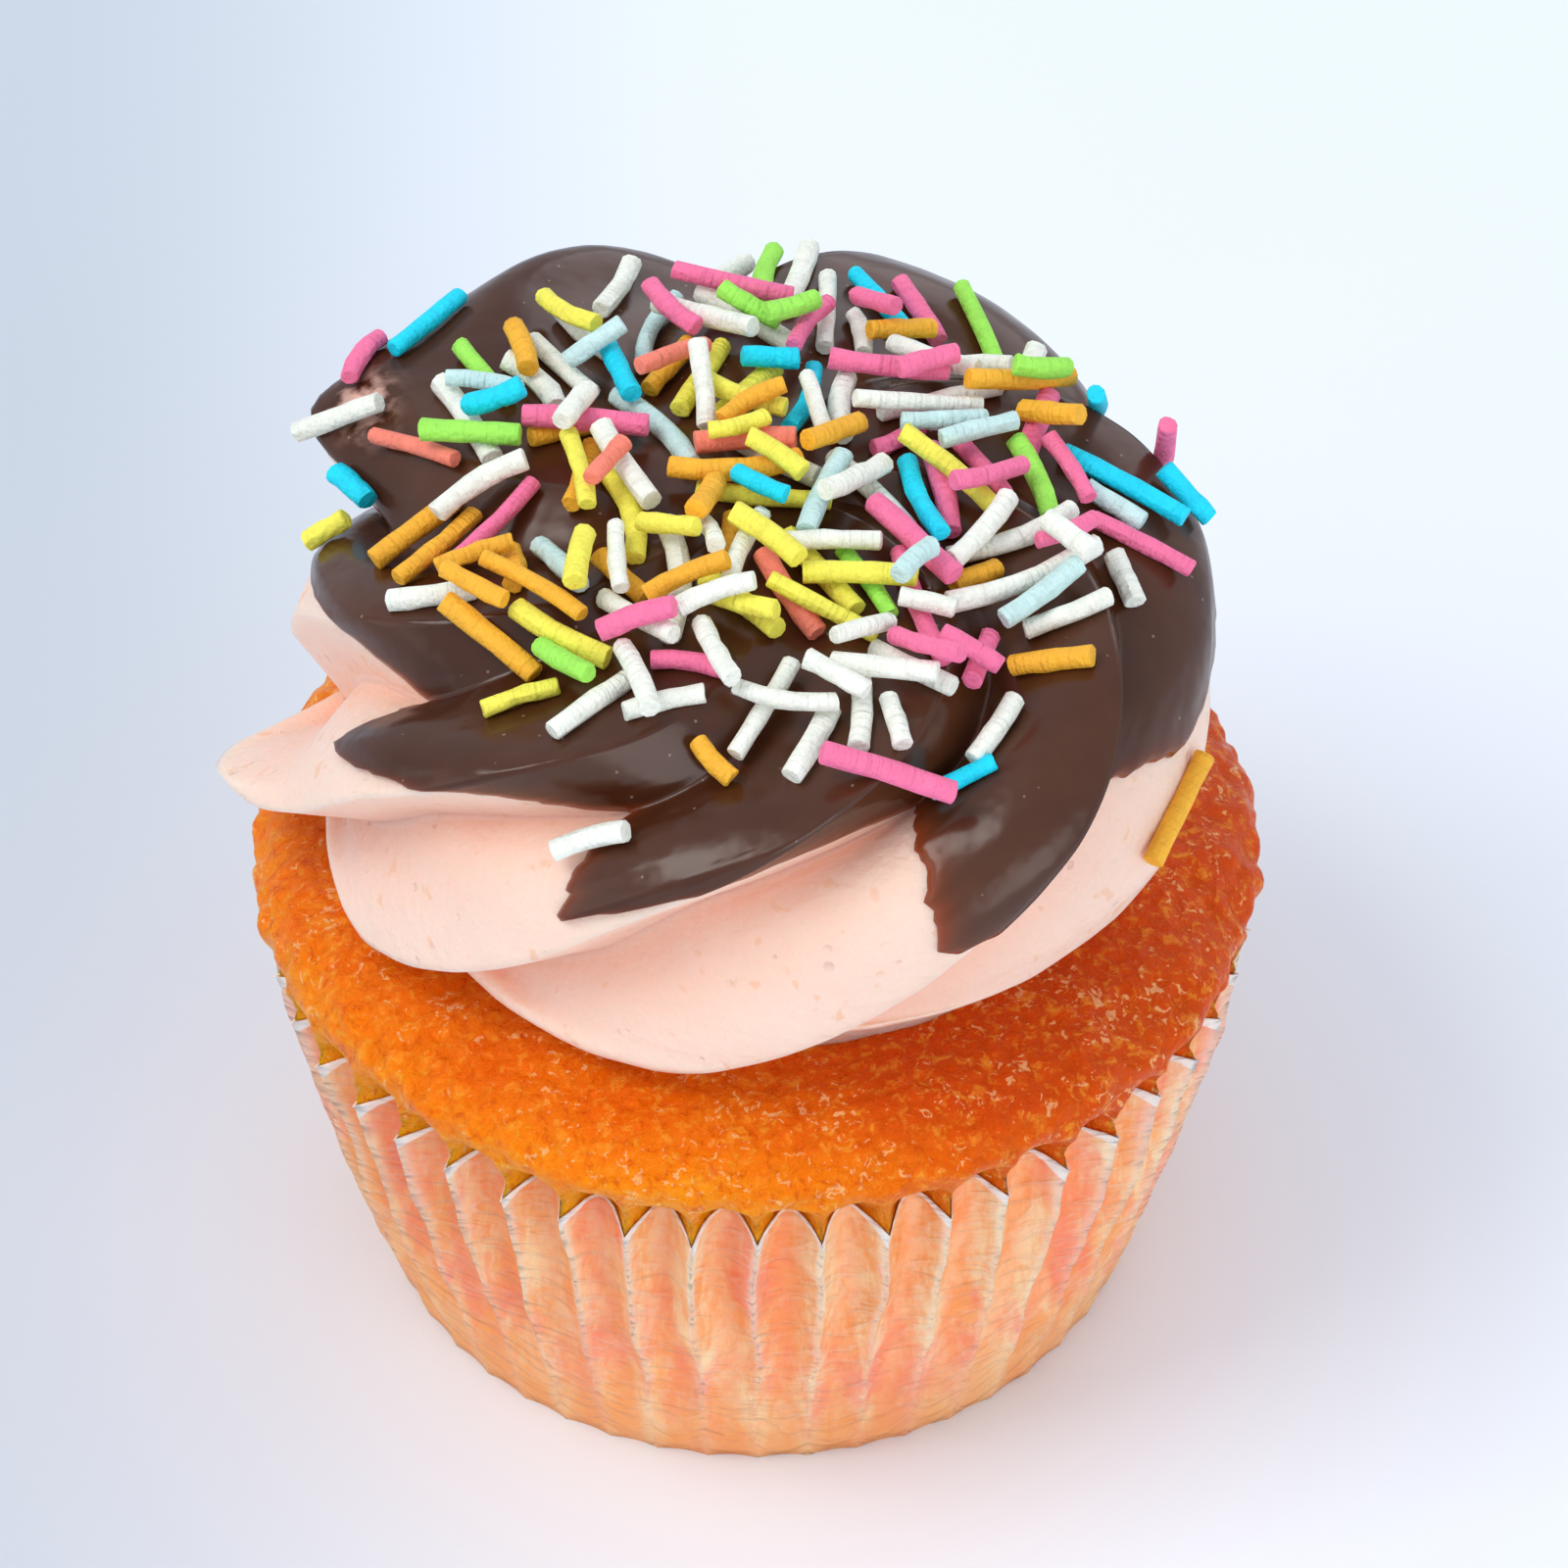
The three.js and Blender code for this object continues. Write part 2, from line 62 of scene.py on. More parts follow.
def linear(code: str) -> tuple[float, float, float, float]:
    """Turns an sRGB hex colour into a linear RGBA value.

    Args:
        code: six hex digits with a leading #.

    Returns:
        Red, green, blue and alpha as Blender's sockets take them.
    """
    shares = [int(code[i:i + 2], 16) / 255 for i in (1, 3, 5)]
    made = [c / 12.92 if c <= 0.04045 else ((c + 0.055) / 1.055) ** 2.4 for c in shares]
    return (made[0], made[1], made[2], 1.0)


def per(size: float) -> float:
    """Texture scale for features of a size in millimetres, on coordinates in metres."""
    return 1.0 / (size * MM)


def plug(tree: Tree, node: Node, inputs: dict[Any, Any]) -> None:
    """Sets or links a node's inputs.

    Args:
        tree: the tree that holds the node.
        node: the node.
        inputs: by socket name or number, a socket, a node for its first output, or a value.
    """
    for key, value in inputs.items():
        source = value.outputs[0] if isinstance(value, Node) else value
        if isinstance(source, Socket):
            tree.links.new(source, node.inputs[key])
        else:
            node.inputs[key].default_value = source


def add_node(tree: Tree, kind: str, settings: dict[str, Any] | None = None,
             inputs: dict[Any, Any] | None = None) -> Node:
    """Adds a node with its settings, and sets or links its inputs.

    Args:
        tree: the tree that gets the node.
        kind: Blender's name for the type of node.
        settings: the node's own properties.
        inputs: its inputs, as plug takes them.

    Returns:
        The new node.
    """
    made = tree.nodes.new(kind)
    for name, value in (settings or {}).items():
        setattr(made, name, value)
    plug(tree, made, inputs or {})
    return made


def smooth(steps: Sequence[float], values: Sequence[float], at: Any) -> np.ndarray:
    """A smooth curve through a table, carried straight on past both ends.

    Args:
        steps: rising places of the table's rows.
        values: the value at each place.
        at: where the curve is wanted.

    Returns:
        The values there, in the shape of at.
    """
    x, y, place = np.asarray(steps, float), np.asarray(values, float), np.asarray(at, float)
    width, slope = np.diff(x), np.diff(y) / np.diff(x)
    inner = (slope[:-1] * width[1:] + slope[1:] * width[:-1]) / (width[:-1] + width[1:])
    tangent = np.concatenate([slope[:1], inner, slope[-1:]])
    i = np.clip(np.searchsorted(x, place, side="right") - 1, 0, len(x) - 2)
    share = (place - x[i]) / width[i]
    t = np.clip(share, 0, 1)
    rest = 1 - t
    curve = (y[i] * (1 + 2 * t) * rest * rest + y[i + 1] * t * t * (3 - 2 * t)
             + width[i] * tangent[i] * t * rest * rest - width[i] * tangent[i + 1] * t * t * rest)
    past = np.maximum(share - 1, 0) * width[i] * tangent[-1] + np.minimum(share, 0) * width[i] * tangent[0]
    return curve + past


def bell(at: Any, middle: float, spread: float) -> Any:
    """A bell of height one round a middle value."""
    return np.exp(-(((at - middle) / spread) ** 2))


def polar(radius: np.ndarray, bearing: np.ndarray, level: Any) -> np.ndarray:
    """Points at radii and bearings round the Z axis, at one level or many."""
    x, y = radius * np.cos(bearing), radius * np.sin(bearing)
    return np.stack([x, y, np.broadcast_to(level, x.shape)], -1)


def uneven(points: np.ndarray, lumps: Sequence[Triple]) -> np.ndarray:
    """Smooth unevenness, in layers from coarse to fine.

    Args:
        points: places in millimetres, with x, y and z last.
        lumps: depth, width in millimetres and seed of each layer.

    Returns:
        One value for each point.
    """
    total = np.zeros(points.shape[:-1])
    for depth, width, seed in lumps:
        shift = Vector((seed, 1.7 * seed, 2.3 * seed))
        values = [noise.noise(Vector(p) + shift) for p in points.reshape(-1, 3) / width]
        total += depth * np.array(values).reshape(total.shape)
    return total


def mesh_object(name: str, points: np.ndarray, faces: list[tuple[int, ...]],
                layers: dict[str, np.ndarray], edges: Sequence[tuple[int, int]] = ()) -> Piece:
    """Makes a mesh object from points in millimetres.

    Args:
        name: name of the object and its mesh.
        points: the vertices.
        faces: vertex numbers of each face, anticlockwise from outside.
        layers: a number for each vertex, by attribute name.
        edges: loose edges, for a mesh that only carries paths.

    Returns:
        The object, linked to the scene, at the origin.
    """
    mesh = bpy.data.meshes.new(name)
    mesh.from_pydata((points * MM).tolist(), edges, faces)
    for label, values in layers.items():
        layer = mesh.attributes.new(label, "FLOAT", "POINT")
        layer.data.foreach_set("value", np.asarray(values, np.float32).ravel())
    if faces:
        mesh.shade_smooth()
    return linked(name, mesh)


def linked(name: str, data: bpy.types.ID) -> Piece:
    """Makes an object and links it to the scene.

    Args:
        name: name of the object.
        data: its mesh, light or camera.

    Returns:
        The object.
    """
    made = bpy.data.objects.new(name, data)
    bpy.context.scene.collection.objects.link(made)
    return made


def ring_body(name: str, first_pole: Triple, rings: np.ndarray, last_pole: Triple,
              material: Material, layers: dict[str, np.ndarray] | None = None) -> Piece:
    """A closed body of rings between two poles, which faces out when the rings climb.

    Args:
        name: name of the object.
        first_pole: the point that closes the first ring.
        rings: points by ring and column.
        last_pole: the point that closes the last ring.
        material: its material.
        layers: by attribute name, a number for each ring and column.

    Returns:
        The object.
    """
    rows, count = rings.shape[:2]
    points = np.concatenate([[first_pole], rings.reshape(-1, 3), [last_pole]])
    end = 1 + rows * count
    faces: list[tuple[int, ...]] = []
    for j in range(count):
        k = (j + 1) % count
        faces.append((0, 1 + k, 1 + j))
        faces.append((end - count + j, end - count + k, end))
        for i in range(rows - 1):
            a, b = 1 + i * count + j, 1 + i * count + k
            faces.append((a, b, b + count, a + count))
    spread = {}
    for label, values in (layers or {}).items():
        spread[label] = np.concatenate([[values[0].mean()], values.ravel(), [values[-1].mean()]])
    made = mesh_object(name, points, faces, spread)
    made.data.materials.append(material)
    return made


def grow(source: Piece, name: str, tree: Tree, values: dict[str, Any]) -> Piece:
    """Runs a Geometry Nodes tree on an object and keeps the result as a plain mesh.

    Args:
        source: the object that carries the tree's input mesh, which is removed afterwards.
        name: name of the plain result.
        tree: the tree to run.
        values: the tree's inputs by name.

    Returns:
        A mesh object without modifiers.
    """
    modifier = source.modifiers.new("grow", "NODES")
    modifier.node_group = tree
    for item in tree.interface.items_tree:
        if item.item_type == "SOCKET" and item.in_out == "INPUT" and item.name in values:
            modifier[item.identifier] = values[item.name]
    bpy.context.view_layer.update()
    depsgraph = bpy.context.evaluated_depsgraph_get()
    mesh = bpy.data.meshes.new_from_object(source.evaluated_get(depsgraph), depsgraph=depsgraph)
    mesh.name = name
    old = source.data
    bpy.data.objects.remove(source)
    bpy.data.meshes.remove(old)
    return linked(name, mesh)


def new_tree(name: str, numbers: Sequence[str], count: str = "") -> tuple[Tree, Node, Node]:
    """Starts a Geometry Nodes tree with a mesh in, named inputs and a mesh out.

    Args:
        name: name of the tree.
        numbers: names of the inputs that are plain numbers.
        count: name of an input that is a whole number; the tree then takes a material too.

    Returns:
        The tree, its input node and its output node.
    """
    tree = bpy.data.node_groups.new(name, "GeometryNodeTree")
    kinds = {"Geometry": "Geometry", **{label: "Float" for label in numbers}}
    if count:
        kinds.update({count: "Int", "Material": "Material"})
    for label, kind in kinds.items():
        tree.interface.new_socket(label, in_out="INPUT", socket_type=f"NodeSocket{kind}")
    tree.interface.new_socket("Geometry", in_out="OUTPUT", socket_type="NodeSocketGeometry")
    return tree, add_node(tree, "NodeGroupInput"), add_node(tree, "NodeGroupOutput")


def shaken(tree: Tree, mesh: Any, size: Any, depth: Any, seed: Any, detail: float) -> Node:
    """Adds the nodes that move every point of a mesh by soft noise.

    Args:
        tree: the Geometry Nodes tree.
        mesh: where the mesh comes from.
        size: how wide a bump is.
        depth: how far the points move, end to end.
        seed: another seed gives another pattern.
        detail: how many finer layers the noise has.

    Returns:
        The node that gives the moved mesh.
    """
    place = add_node(tree, "GeometryNodeInputPosition")
    scale = add_node(tree, "ShaderNodeMath", {"operation": "DIVIDE"}, {0: 1.0, 1: size})
    cloud = add_node(tree, "ShaderNodeTexNoise", {"noise_dimensions": "4D"}, {
        "Vector": place, "W": seed, "Scale": scale, "Detail": detail})
    centred = add_node(tree, "ShaderNodeVectorMath", {"operation": "SUBTRACT"}, {
        0: cloud.outputs["Color"], 1: (0.5, 0.5, 0.5)})
    shift = add_node(tree, "ShaderNodeVectorMath", {"operation": "SCALE"}, {0: centred, "Scale": depth})
    return add_node(tree, "GeometryNodeSetPosition", inputs={"Geometry": mesh, "Offset": shift})


def crumple_tree() -> Tree:
    """Builds the tree that crumples a mesh by soft noise, so that neighbours move together.

    Returns:
        A Geometry Nodes tree with inputs Size, Depth, Seed, Held To and Fades Over: nothing moves
        at the floor, all of it does above Held To, and it fades out again above Fades Over.
    """
    tree, given, out = new_tree("crumpled", ("Size", "Depth", "Seed", "Held To", "Fades Over"))
    place = add_node(tree, "GeometryNodeInputPosition")
    level = add_node(tree, "ShaderNodeSeparateXYZ", inputs={0: place}).outputs["Z"]
    fades = given.outputs["Fades Over"]
    still = add_node(tree, "ShaderNodeMath", {"operation": "MULTIPLY"}, {0: fades, 1: FADE_END})
    held = add_node(tree, "ShaderNodeMapRange", inputs={
        "Value": level, "From Max": given.outputs["Held To"]})
    faded = add_node(tree, "ShaderNodeMapRange", inputs={
        "Value": level, "From Min": still, "From Max": fades})
    share = add_node(tree, "ShaderNodeMath", {"operation": "MULTIPLY"}, {0: held, 1: faded})
    depth = add_node(tree, "ShaderNodeMath", {"operation": "MULTIPLY"}, {
        0: share, 1: given.outputs["Depth"]})
    moved = shaken(tree, given, given.outputs["Size"], depth, given.outputs["Seed"], 2.0)
    plug(tree, out, {0: moved})
    return tree


# ---------------------------------------------------------------------------------------------
# Finishes


class Layer(NamedTuple):
    """One tint over a colour, where a value runs from its start to its end.

    most: how strongly it covers at the end. soft: whether it eases in and out.
    """

    tint: str
    value: Any
    start: float = 0.0
    end: float = 1.0
    most: Any = 1.0
    soft: bool = False


def layered(tree: Tree, base: str, layers: Sequence[Layer]) -> Socket:
    """Lays tints over a base colour, one over the other.

    Args:
        tree: the material's tree.
        base: the lowest colour, as sRGB hex.
        layers: the tints, from the lowest.

    Returns:
        The socket of the finished colour.
    """
    colour: Any = linear(base)
    for layer in layers:
        share = add_node(tree, "ShaderNodeMapRange", SOFT if layer.soft else {}, {
            "Value": layer.value, "From Min": layer.start, "From Max": layer.end, "To Max": layer.most})
        colour = add_node(tree, "ShaderNodeMix", {"data_type": "RGBA"}, {
            "Factor": share, 6: colour, 7: linear(layer.tint)}).outputs[2]
    return colour


@dataclass(frozen=True)
class Finish:
    """What every finish shares: a name, a Principled shader and Object coordinates."""

    name: str

    def start(self) -> tuple[Tree, Socket]:
        """Makes the material.

        Returns:
            Its tree and the Object coordinate socket.
        """
        material = bpy.data.materials.new(self.name)
        material.use_nodes = True
        tree = material.node_tree
        return tree, add_node(tree, "ShaderNodeTexCoord").outputs["Object"]

    def close(self, tree: Tree, inputs: dict[str, Any]) -> Material:
        """Sets or links the shader's inputs, and returns the finished material."""
        plug(tree, tree.nodes["Principled BSDF"], inputs)
        return bpy.data.materials[self.name]

    def build(self) -> Material:
        """Returns the finished material."""
        raise NotImplementedError


@dataclass(frozen=True)
class GreasedPaper(Finish):
    """Greaseproof baking paper, pressed into pleats and soaked through by the cake.

    The oil makes it translucent, so it takes the cake's colour where it touches it, while the
    standing folds stay pale and dry. The valleys between the pleats are a deeper orange, partly
    from that soaking and partly as painted shade, and the paper is darker and browner towards the
    bottom. Pressing leaves fine cross wrinkles, drawn a little coarser than they are, so that
    they show. In millimetres: wrinkle is the gap between two, chevron how far they dip beside a
    fold, and mottle and patch the size of the small and large stains.
    """

    soaked: str = "#ffaa64"
    moist: str = "#ffd8a8"
    deep: str = "#ff8c4a"
    dry: str = "#fff4e6"
    lower_brown: str = "#eca05c"
    blush: str = "#ff7c68"
    white_rim: str = "#fbefe6"
    wrinkle: float = 1.32
    chevron: float = 1.4
    mottle: float = 3.0
    patch: float = 4.5

    def build(self) -> Material:
        """Returns the paper's material."""
        tree, place = self.start()
        axes = add_node(tree, "ShaderNodeSeparateXYZ", inputs={0: place})
        x, level = axes.outputs["X"], axes.outputs["Z"]
        fold, rim = (add_node(tree, "ShaderNodeAttribute", {"attribute_name": name}).outputs["Fac"]
                     for name in ("fold", "rim"))
        # The oil climbs the paper, so its stains stand taller than they are wide.
        squeezed = add_node(tree, "ShaderNodeMapping", inputs={"Vector": place, "Scale": (1.0, 1.0, 0.3)})
        mottle = add_node(tree, "ShaderNodeTexNoise", inputs={
            "Vector": squeezed, "Scale": per(self.mottle), "Detail": 7.0, "Roughness": 0.74})
        patch = add_node(tree, "ShaderNodeTexNoise", inputs={
            "Vector": squeezed, "Scale": per(self.patch), "Detail": 5.0, "Roughness": 0.66})
        soak = add_node(tree, "ShaderNodeMapRange", inputs={
            "Value": mottle, "From Min": 0.43, "From Max": 0.57})
        oily = add_node(tree, "ShaderNodeMapRange", SOFT, {
            "Value": x, "From Min": -10 * MM, "From Max": -26 * MM, "To Max": 0.6})
        through = add_node(tree, "ShaderNodeMath", {"operation": "ADD", "use_clamp": True}, {
            0: soak, 1: oily})
        # The wrinkles lie across a pleat and dip on both sides of its outer fold.
        climb = add_node(tree, "ShaderNodeMath", {"operation": "MULTIPLY_ADD"}, {
            0: fold, 1: -self.chevron * MM, 2: level})
        leant = add_node(tree, "ShaderNodeCombineXYZ", inputs={
            "X": x, "Y": axes.outputs["Y"], "Z": climb})
        flat = add_node(tree, "ShaderNodeMapping", inputs={"Vector": leant, "Scale": (0.35, 0.35, 1.0)})
        cross = add_node(tree, "ShaderNodeTexNoise", {"noise_type": "RIDGED_MULTIFRACTAL"}, {
            "Vector": flat, "Scale": per(self.wrinkle), "Detail": 3.0, "Roughness": 0.5,
            "Offset": 0.9, "Gain": 1.5, "Distortion": 0.3})
        wander = add_node(tree, "ShaderNodeMath", {"operation": "MULTIPLY_ADD"}, {
            0: mottle, 1: 0.9, 2: fold})
        dried = add_node(tree, "ShaderNodeMapRange", inputs={
            "Value": level, "From Min": 10 * MM, "From Max": 25 * MM, "To Min": 0.2, "To Max": 0.55})
        tips = add_node(tree, "ShaderNodeMath", {"operation": "MULTIPLY_ADD"}, {
            0: wander, 1: 0.6, 2: rim})
        colour = layered(tree, self.moist, (
            Layer(self.soaked, through),
            Layer(self.blush, patch, 0.47, 0.62, 0.7),
            Layer(self.dry, cross, 0.9, 1.7, 0.3),
            # The valleys between the pleats are a deeper orange: partly the paper soaked where it touches
            # the cake, partly painted shade.
            Layer(self.deep, fold, 0.5, 0.0, 0.45),
            Layer(self.dry, wander, 0.95, 1.6, dried, soft=True),
            # Darker and browner towards the bottom.
            Layer(self.lower_brown, level, 9 * MM, 0.5 * MM, 0.7),
            Layer(self.white_rim, tips, 1.14, 1.24, 0.95, soft=True)))
        bump = add_node(tree, "ShaderNodeBump", inputs={
            "Strength": 0.7, "Distance": 0.22 * MM, "Height": cross})
        return self.close(tree, {
            "Base Color": colour, "Normal": bump, "Roughness": 0.45, "Specular IOR Level": 0.3,
            "Subsurface Weight": 0.12, "Subsurface Radius": (1.0, 0.55, 0.25),
            "Subsurface Scale": 0.5 * MM})


@dataclass(frozen=True)
class MoistCrumb(Finish):
    """The skin of a moist, oily orange sponge, baked just until it set.

    The open crumb gives fine pits and bumps. Its tops are painted lighter as painted light and its
    pits darker as painted shade, and pale specks in its colour are painted glints of the oil. Fruit
    leaves red specks. crumb, glint, fruit, patch: sizes in millimetres of the grains, the painted
    glints, the red specks and the patches of deeper baking.
    """

    crust: str = "#ff7c00"
    glow: str = "#ffa00c"
    lit: str = "#ffb23a"
    deep: str = "#da4a00"
    pale: str = "#ffc488"
    painted_pit_shade: str = "#d04c00"
    fleck: str = "#d8381c"
    sheen: str = "#ffc890"
    crumb: float = 0.9
    glint: float = 0.7
    fruit: float = 5.5
    patch: float = 5.0

    def build(self) -> Material:
        """Returns the sponge's material."""
        tree, place = self.start()
        axes = add_node(tree, "ShaderNodeSeparateXYZ", inputs={0: place})
        broad = add_node(tree, "ShaderNodeTexNoise", inputs={
            "Vector": place, "Scale": per(self.patch), "Detail": 7.0, "Roughness": 0.68})
        grain = add_node(tree, "ShaderNodeTexNoise", inputs={
            "Vector": place, "Scale": per(self.crumb), "Detail": 5.0, "Roughness": 0.7, "Distortion": 0.5})
        glint = add_node(tree, "ShaderNodeTexNoise", inputs={
            "Vector": place, "Scale": per(self.glint), "Detail": 2.0, "Roughness": 0.6, "Distortion": 1.0})
        fruit = add_node(tree, "ShaderNodeTexNoise", inputs={
            "Vector": place, "Scale": per(self.fruit), "Detail": 2.0, "Distortion": 1.2})
        # It is yellowest near the paper, partly its own colour and partly a painted glow that stands
        # for light let through the paper. Its deeper tone on the right and under the buttercream is
        # painted shade.
        tone = add_node(tree, "ShaderNodeMapRange", inputs={
            "Value": broad, "From Min": 0.38, "From Max": 0.66})
        near_rim = add_node(tree, "ShaderNodeMapRange", SOFT, {
            "Value": axes.outputs["Z"], "From Min": 32.5 * MM, "From Max": 28.5 * MM, "To Max": 0.6})
        yellow = add_node(tree, "ShaderNodeMath", {"operation": "MULTIPLY_ADD", "use_clamp": True}, {
            0: tone, 1: 0.6, 2: near_rim})
        side = add_node(tree, "ShaderNodeMapRange", SOFT, {
            "Value": axes.outputs["X"], "From Min": -6 * MM, "From Max": 24 * MM, "To Max": 0.95})
        shaded = add_node(tree, "ShaderNodeMapRange", SOFT, {
            "Value": axes.outputs["Z"], "From Min": 32.5 * MM, "From Max": 35 * MM, "To Max": 0.5})
        depth = add_node(tree, "ShaderNodeMath", {"operation": "ADD", "use_clamp": True}, {
            0: side, 1: shaded})
        glint_mask = add_node(tree, "ShaderNodeMath", {"operation": "MULTIPLY_ADD"}, {
            0: broad, 1: 0.5, 2: glint})
        colour = layered(tree, self.crust, (
            Layer(self.glow, yellow),
            # Painted shade on the right and under the buttercream.
            Layer(self.deep, depth),
            # Painted light on the tops of the crumb.
            Layer(self.lit, grain, 0.52, 0.66, 0.55),
            # Pale specks: painted glints of the oil.
            Layer(self.pale, glint_mask, 0.88, 0.93, 0.7),
            # Painted shade in the hollows of the crumb.
            Layer(self.painted_pit_shade, grain, 0.47, 0.34, 0.6),
            Layer(self.fleck, fruit, 0.68, 0.76, 0.55)))
        wet = add_node(tree, "ShaderNodeMapRange", inputs={
            "Value": grain, "From Min": 0.3, "From Max": 0.7, "To Min": 0.22, "To Max": 0.42})
        coarse = add_node(tree, "ShaderNodeBump", inputs={
            "Strength": 1.0, "Distance": 0.5 * MM, "Height": broad})
        fine = add_node(tree, "ShaderNodeBump", inputs={
            "Strength": 1.0, "Distance": 0.45 * MM, "Height": grain, "Normal": coarse})
        return self.close(tree, {
            "Base Color": colour, "Normal": fine, "Roughness": wet, "Specular IOR Level": 0.28,
            "Specular Tint": linear(self.sheen), "Subsurface Weight": 0.45,
            "Subsurface Radius": (1.0, 0.4, 0.05), "Subsurface Scale": 2.0 * MM})


@dataclass(frozen=True)
class PipedButtercream(Finish):
    """Pale pink buttercream, whipped and pushed through a star nozzle.

    Fat and sugar scatter light deep inside, so its folds glow, and the whipped air leaves a
    few tiny open bubbles in a smooth satin face. cloud, pool, bubble, satin: sizes in millimetres
    of its cloudy tone, the damp spots, the cells that hold a bubble and the fine grain.
    """

    face: str = "#ffdbc9"
    fold: str = "#f9c2aa"
    spot: str = "#f3b98f"
    cloud: float = 7.0
    pool: float = 1.6
    bubble: float = 1.5
    satin: float = 0.9

    def build(self) -> Material:
        """Returns the buttercream's material."""
        tree, place = self.start()
        depth = add_node(tree, "ShaderNodeAttribute", {"attribute_name": "fold"}).outputs["Fac"]
        cloud = add_node(tree, "ShaderNodeTexNoise", inputs={
            "Vector": place, "Scale": per(self.cloud), "Detail": 3.0})
        blend = add_node(tree, "ShaderNodeMath", {"operation": "MULTIPLY_ADD"}, {
            0: cloud, 1: 0.5, 2: -0.2})
        total = add_node(tree, "ShaderNodeMath", {"operation": "ADD", "use_clamp": True}, {
            0: depth, 1: blend})
        pool = add_node(tree, "ShaderNodeTexNoise", inputs={
            "Vector": place, "Scale": per(self.pool), "Detail": 2.0, "Distortion": 0.4})
        # The grooves are painted darker as painted shade, mixed with a cloudy tone of the cream's own.
        colour = layered(tree, self.face, (
            Layer(self.fold, total), Layer(self.spot, pool, 0.65, 0.7, 0.55)))
        cells = add_node(tree, "ShaderNodeTexVoronoi", inputs={"Vector": place, "Scale": per(self.bubble)})
        chance = add_node(tree, "ShaderNodeSeparateColor", inputs={0: cells.outputs["Color"]})
        size = add_node(tree, "ShaderNodeMapRange", inputs={
            "Value": chance, "From Min": 0.5, "From Max": 1.0, "To Max": 0.26})
        inside = add_node(tree, "ShaderNodeMath", {"operation": "SUBTRACT", "use_clamp": True}, {
            0: size, 1: cells})
        satin = add_node(tree, "ShaderNodeTexNoise", inputs={
            "Vector": place, "Scale": per(self.satin), "Detail": 4.0, "Roughness": 0.6})
        level = add_node(tree, "ShaderNodeMath", {"operation": "MULTIPLY_ADD"}, {
            0: inside, 1: -6.0, 2: satin})
        bump = add_node(tree, "ShaderNodeBump", inputs={
            "Strength": 1.0, "Distance": 0.22 * MM, "Height": level})
        return self.close(tree, {
            "Base Color": colour, "Normal": bump, "Roughness": 0.45, "Subsurface Weight": 0.6,
            "Subsurface Radius": (1.0, 0.6, 0.45), "Subsurface Scale": 2.5 * MM})


@dataclass(frozen=True)
class PouredChocolate(Finish):
    """Dark chocolate, dipped warm and set at room temperature.

    It sets to a soft satin gloss with wide highlights, faint bloom and a few pale specks. At
    its edge it thins to a reddish brown line, and where it tore the cream shows through. cloud,
    dot, smear, ripple: sizes in millimetres of the bloom, the gaps between specks, the streaks
    of a tear and the waves in its face. drag: heading of the streaks in degrees.
    """

    body: str = "#43200f"
    bloom: str = "#54301c"
    thin: str = "#8e3f1c"
    cream: str = "#eebfae"
    speck: str = "#a08d80"
    cloud: float = 9.0
    dot: float = 1.7
    smear: float = 1.1
    ripple: float = 3.5
    drag: float = 35.0

    def build(self) -> Material:
        """Returns the chocolate's material."""
        tree, place = self.start()
        rim, torn = (add_node(tree, "ShaderNodeAttribute", {"attribute_name": name}).outputs["Fac"]
                     for name in ("rim", "torn"))
        cloud = add_node(tree, "ShaderNodeTexNoise", inputs={
            "Vector": place, "Scale": per(self.cloud), "Detail": 4.0})
        cells = add_node(tree, "ShaderNodeTexVoronoi", inputs={"Vector": place, "Scale": per(self.dot)})
        drag = add_node(tree, "ShaderNodeMapping", inputs={
            "Vector": place, "Rotation": (0.0, 0.0, math.radians(self.drag)), "Scale": (0.6, 1.0, 1.0)})
        smear = add_node(tree, "ShaderNodeTexNoise", inputs={
            "Vector": drag, "Scale": per(self.smear), "Detail": 3.0})
        bare = add_node(tree, "ShaderNodeMapRange", inputs={
            "Value": smear, "From Min": 0.42, "From Max": 0.6})
        share = add_node(tree, "ShaderNodeMath", {"operation": "MULTIPLY", "use_clamp": True}, {
            0: torn, 1: bare})
        colour = layered(tree, self.body, (
            Layer(self.bloom, cloud, 0.35, 0.7), Layer(self.speck, cells, 0.07, 0.045, 0.55),
            Layer(self.thin, rim), Layer(self.cream, share)))
        ripple = add_node(tree, "ShaderNodeTexNoise", inputs={
            "Vector": place, "Scale": per(self.ripple), "Detail": 2.0})
        bump = add_node(tree, "ShaderNodeBump", inputs={
            "Strength": 0.5, "Distance": 0.35 * MM, "Height": ripple})
        return self.close(tree, {
            "Base Color": colour, "Normal": bump, "Roughness": 0.22, "Specular IOR Level": 0.4})


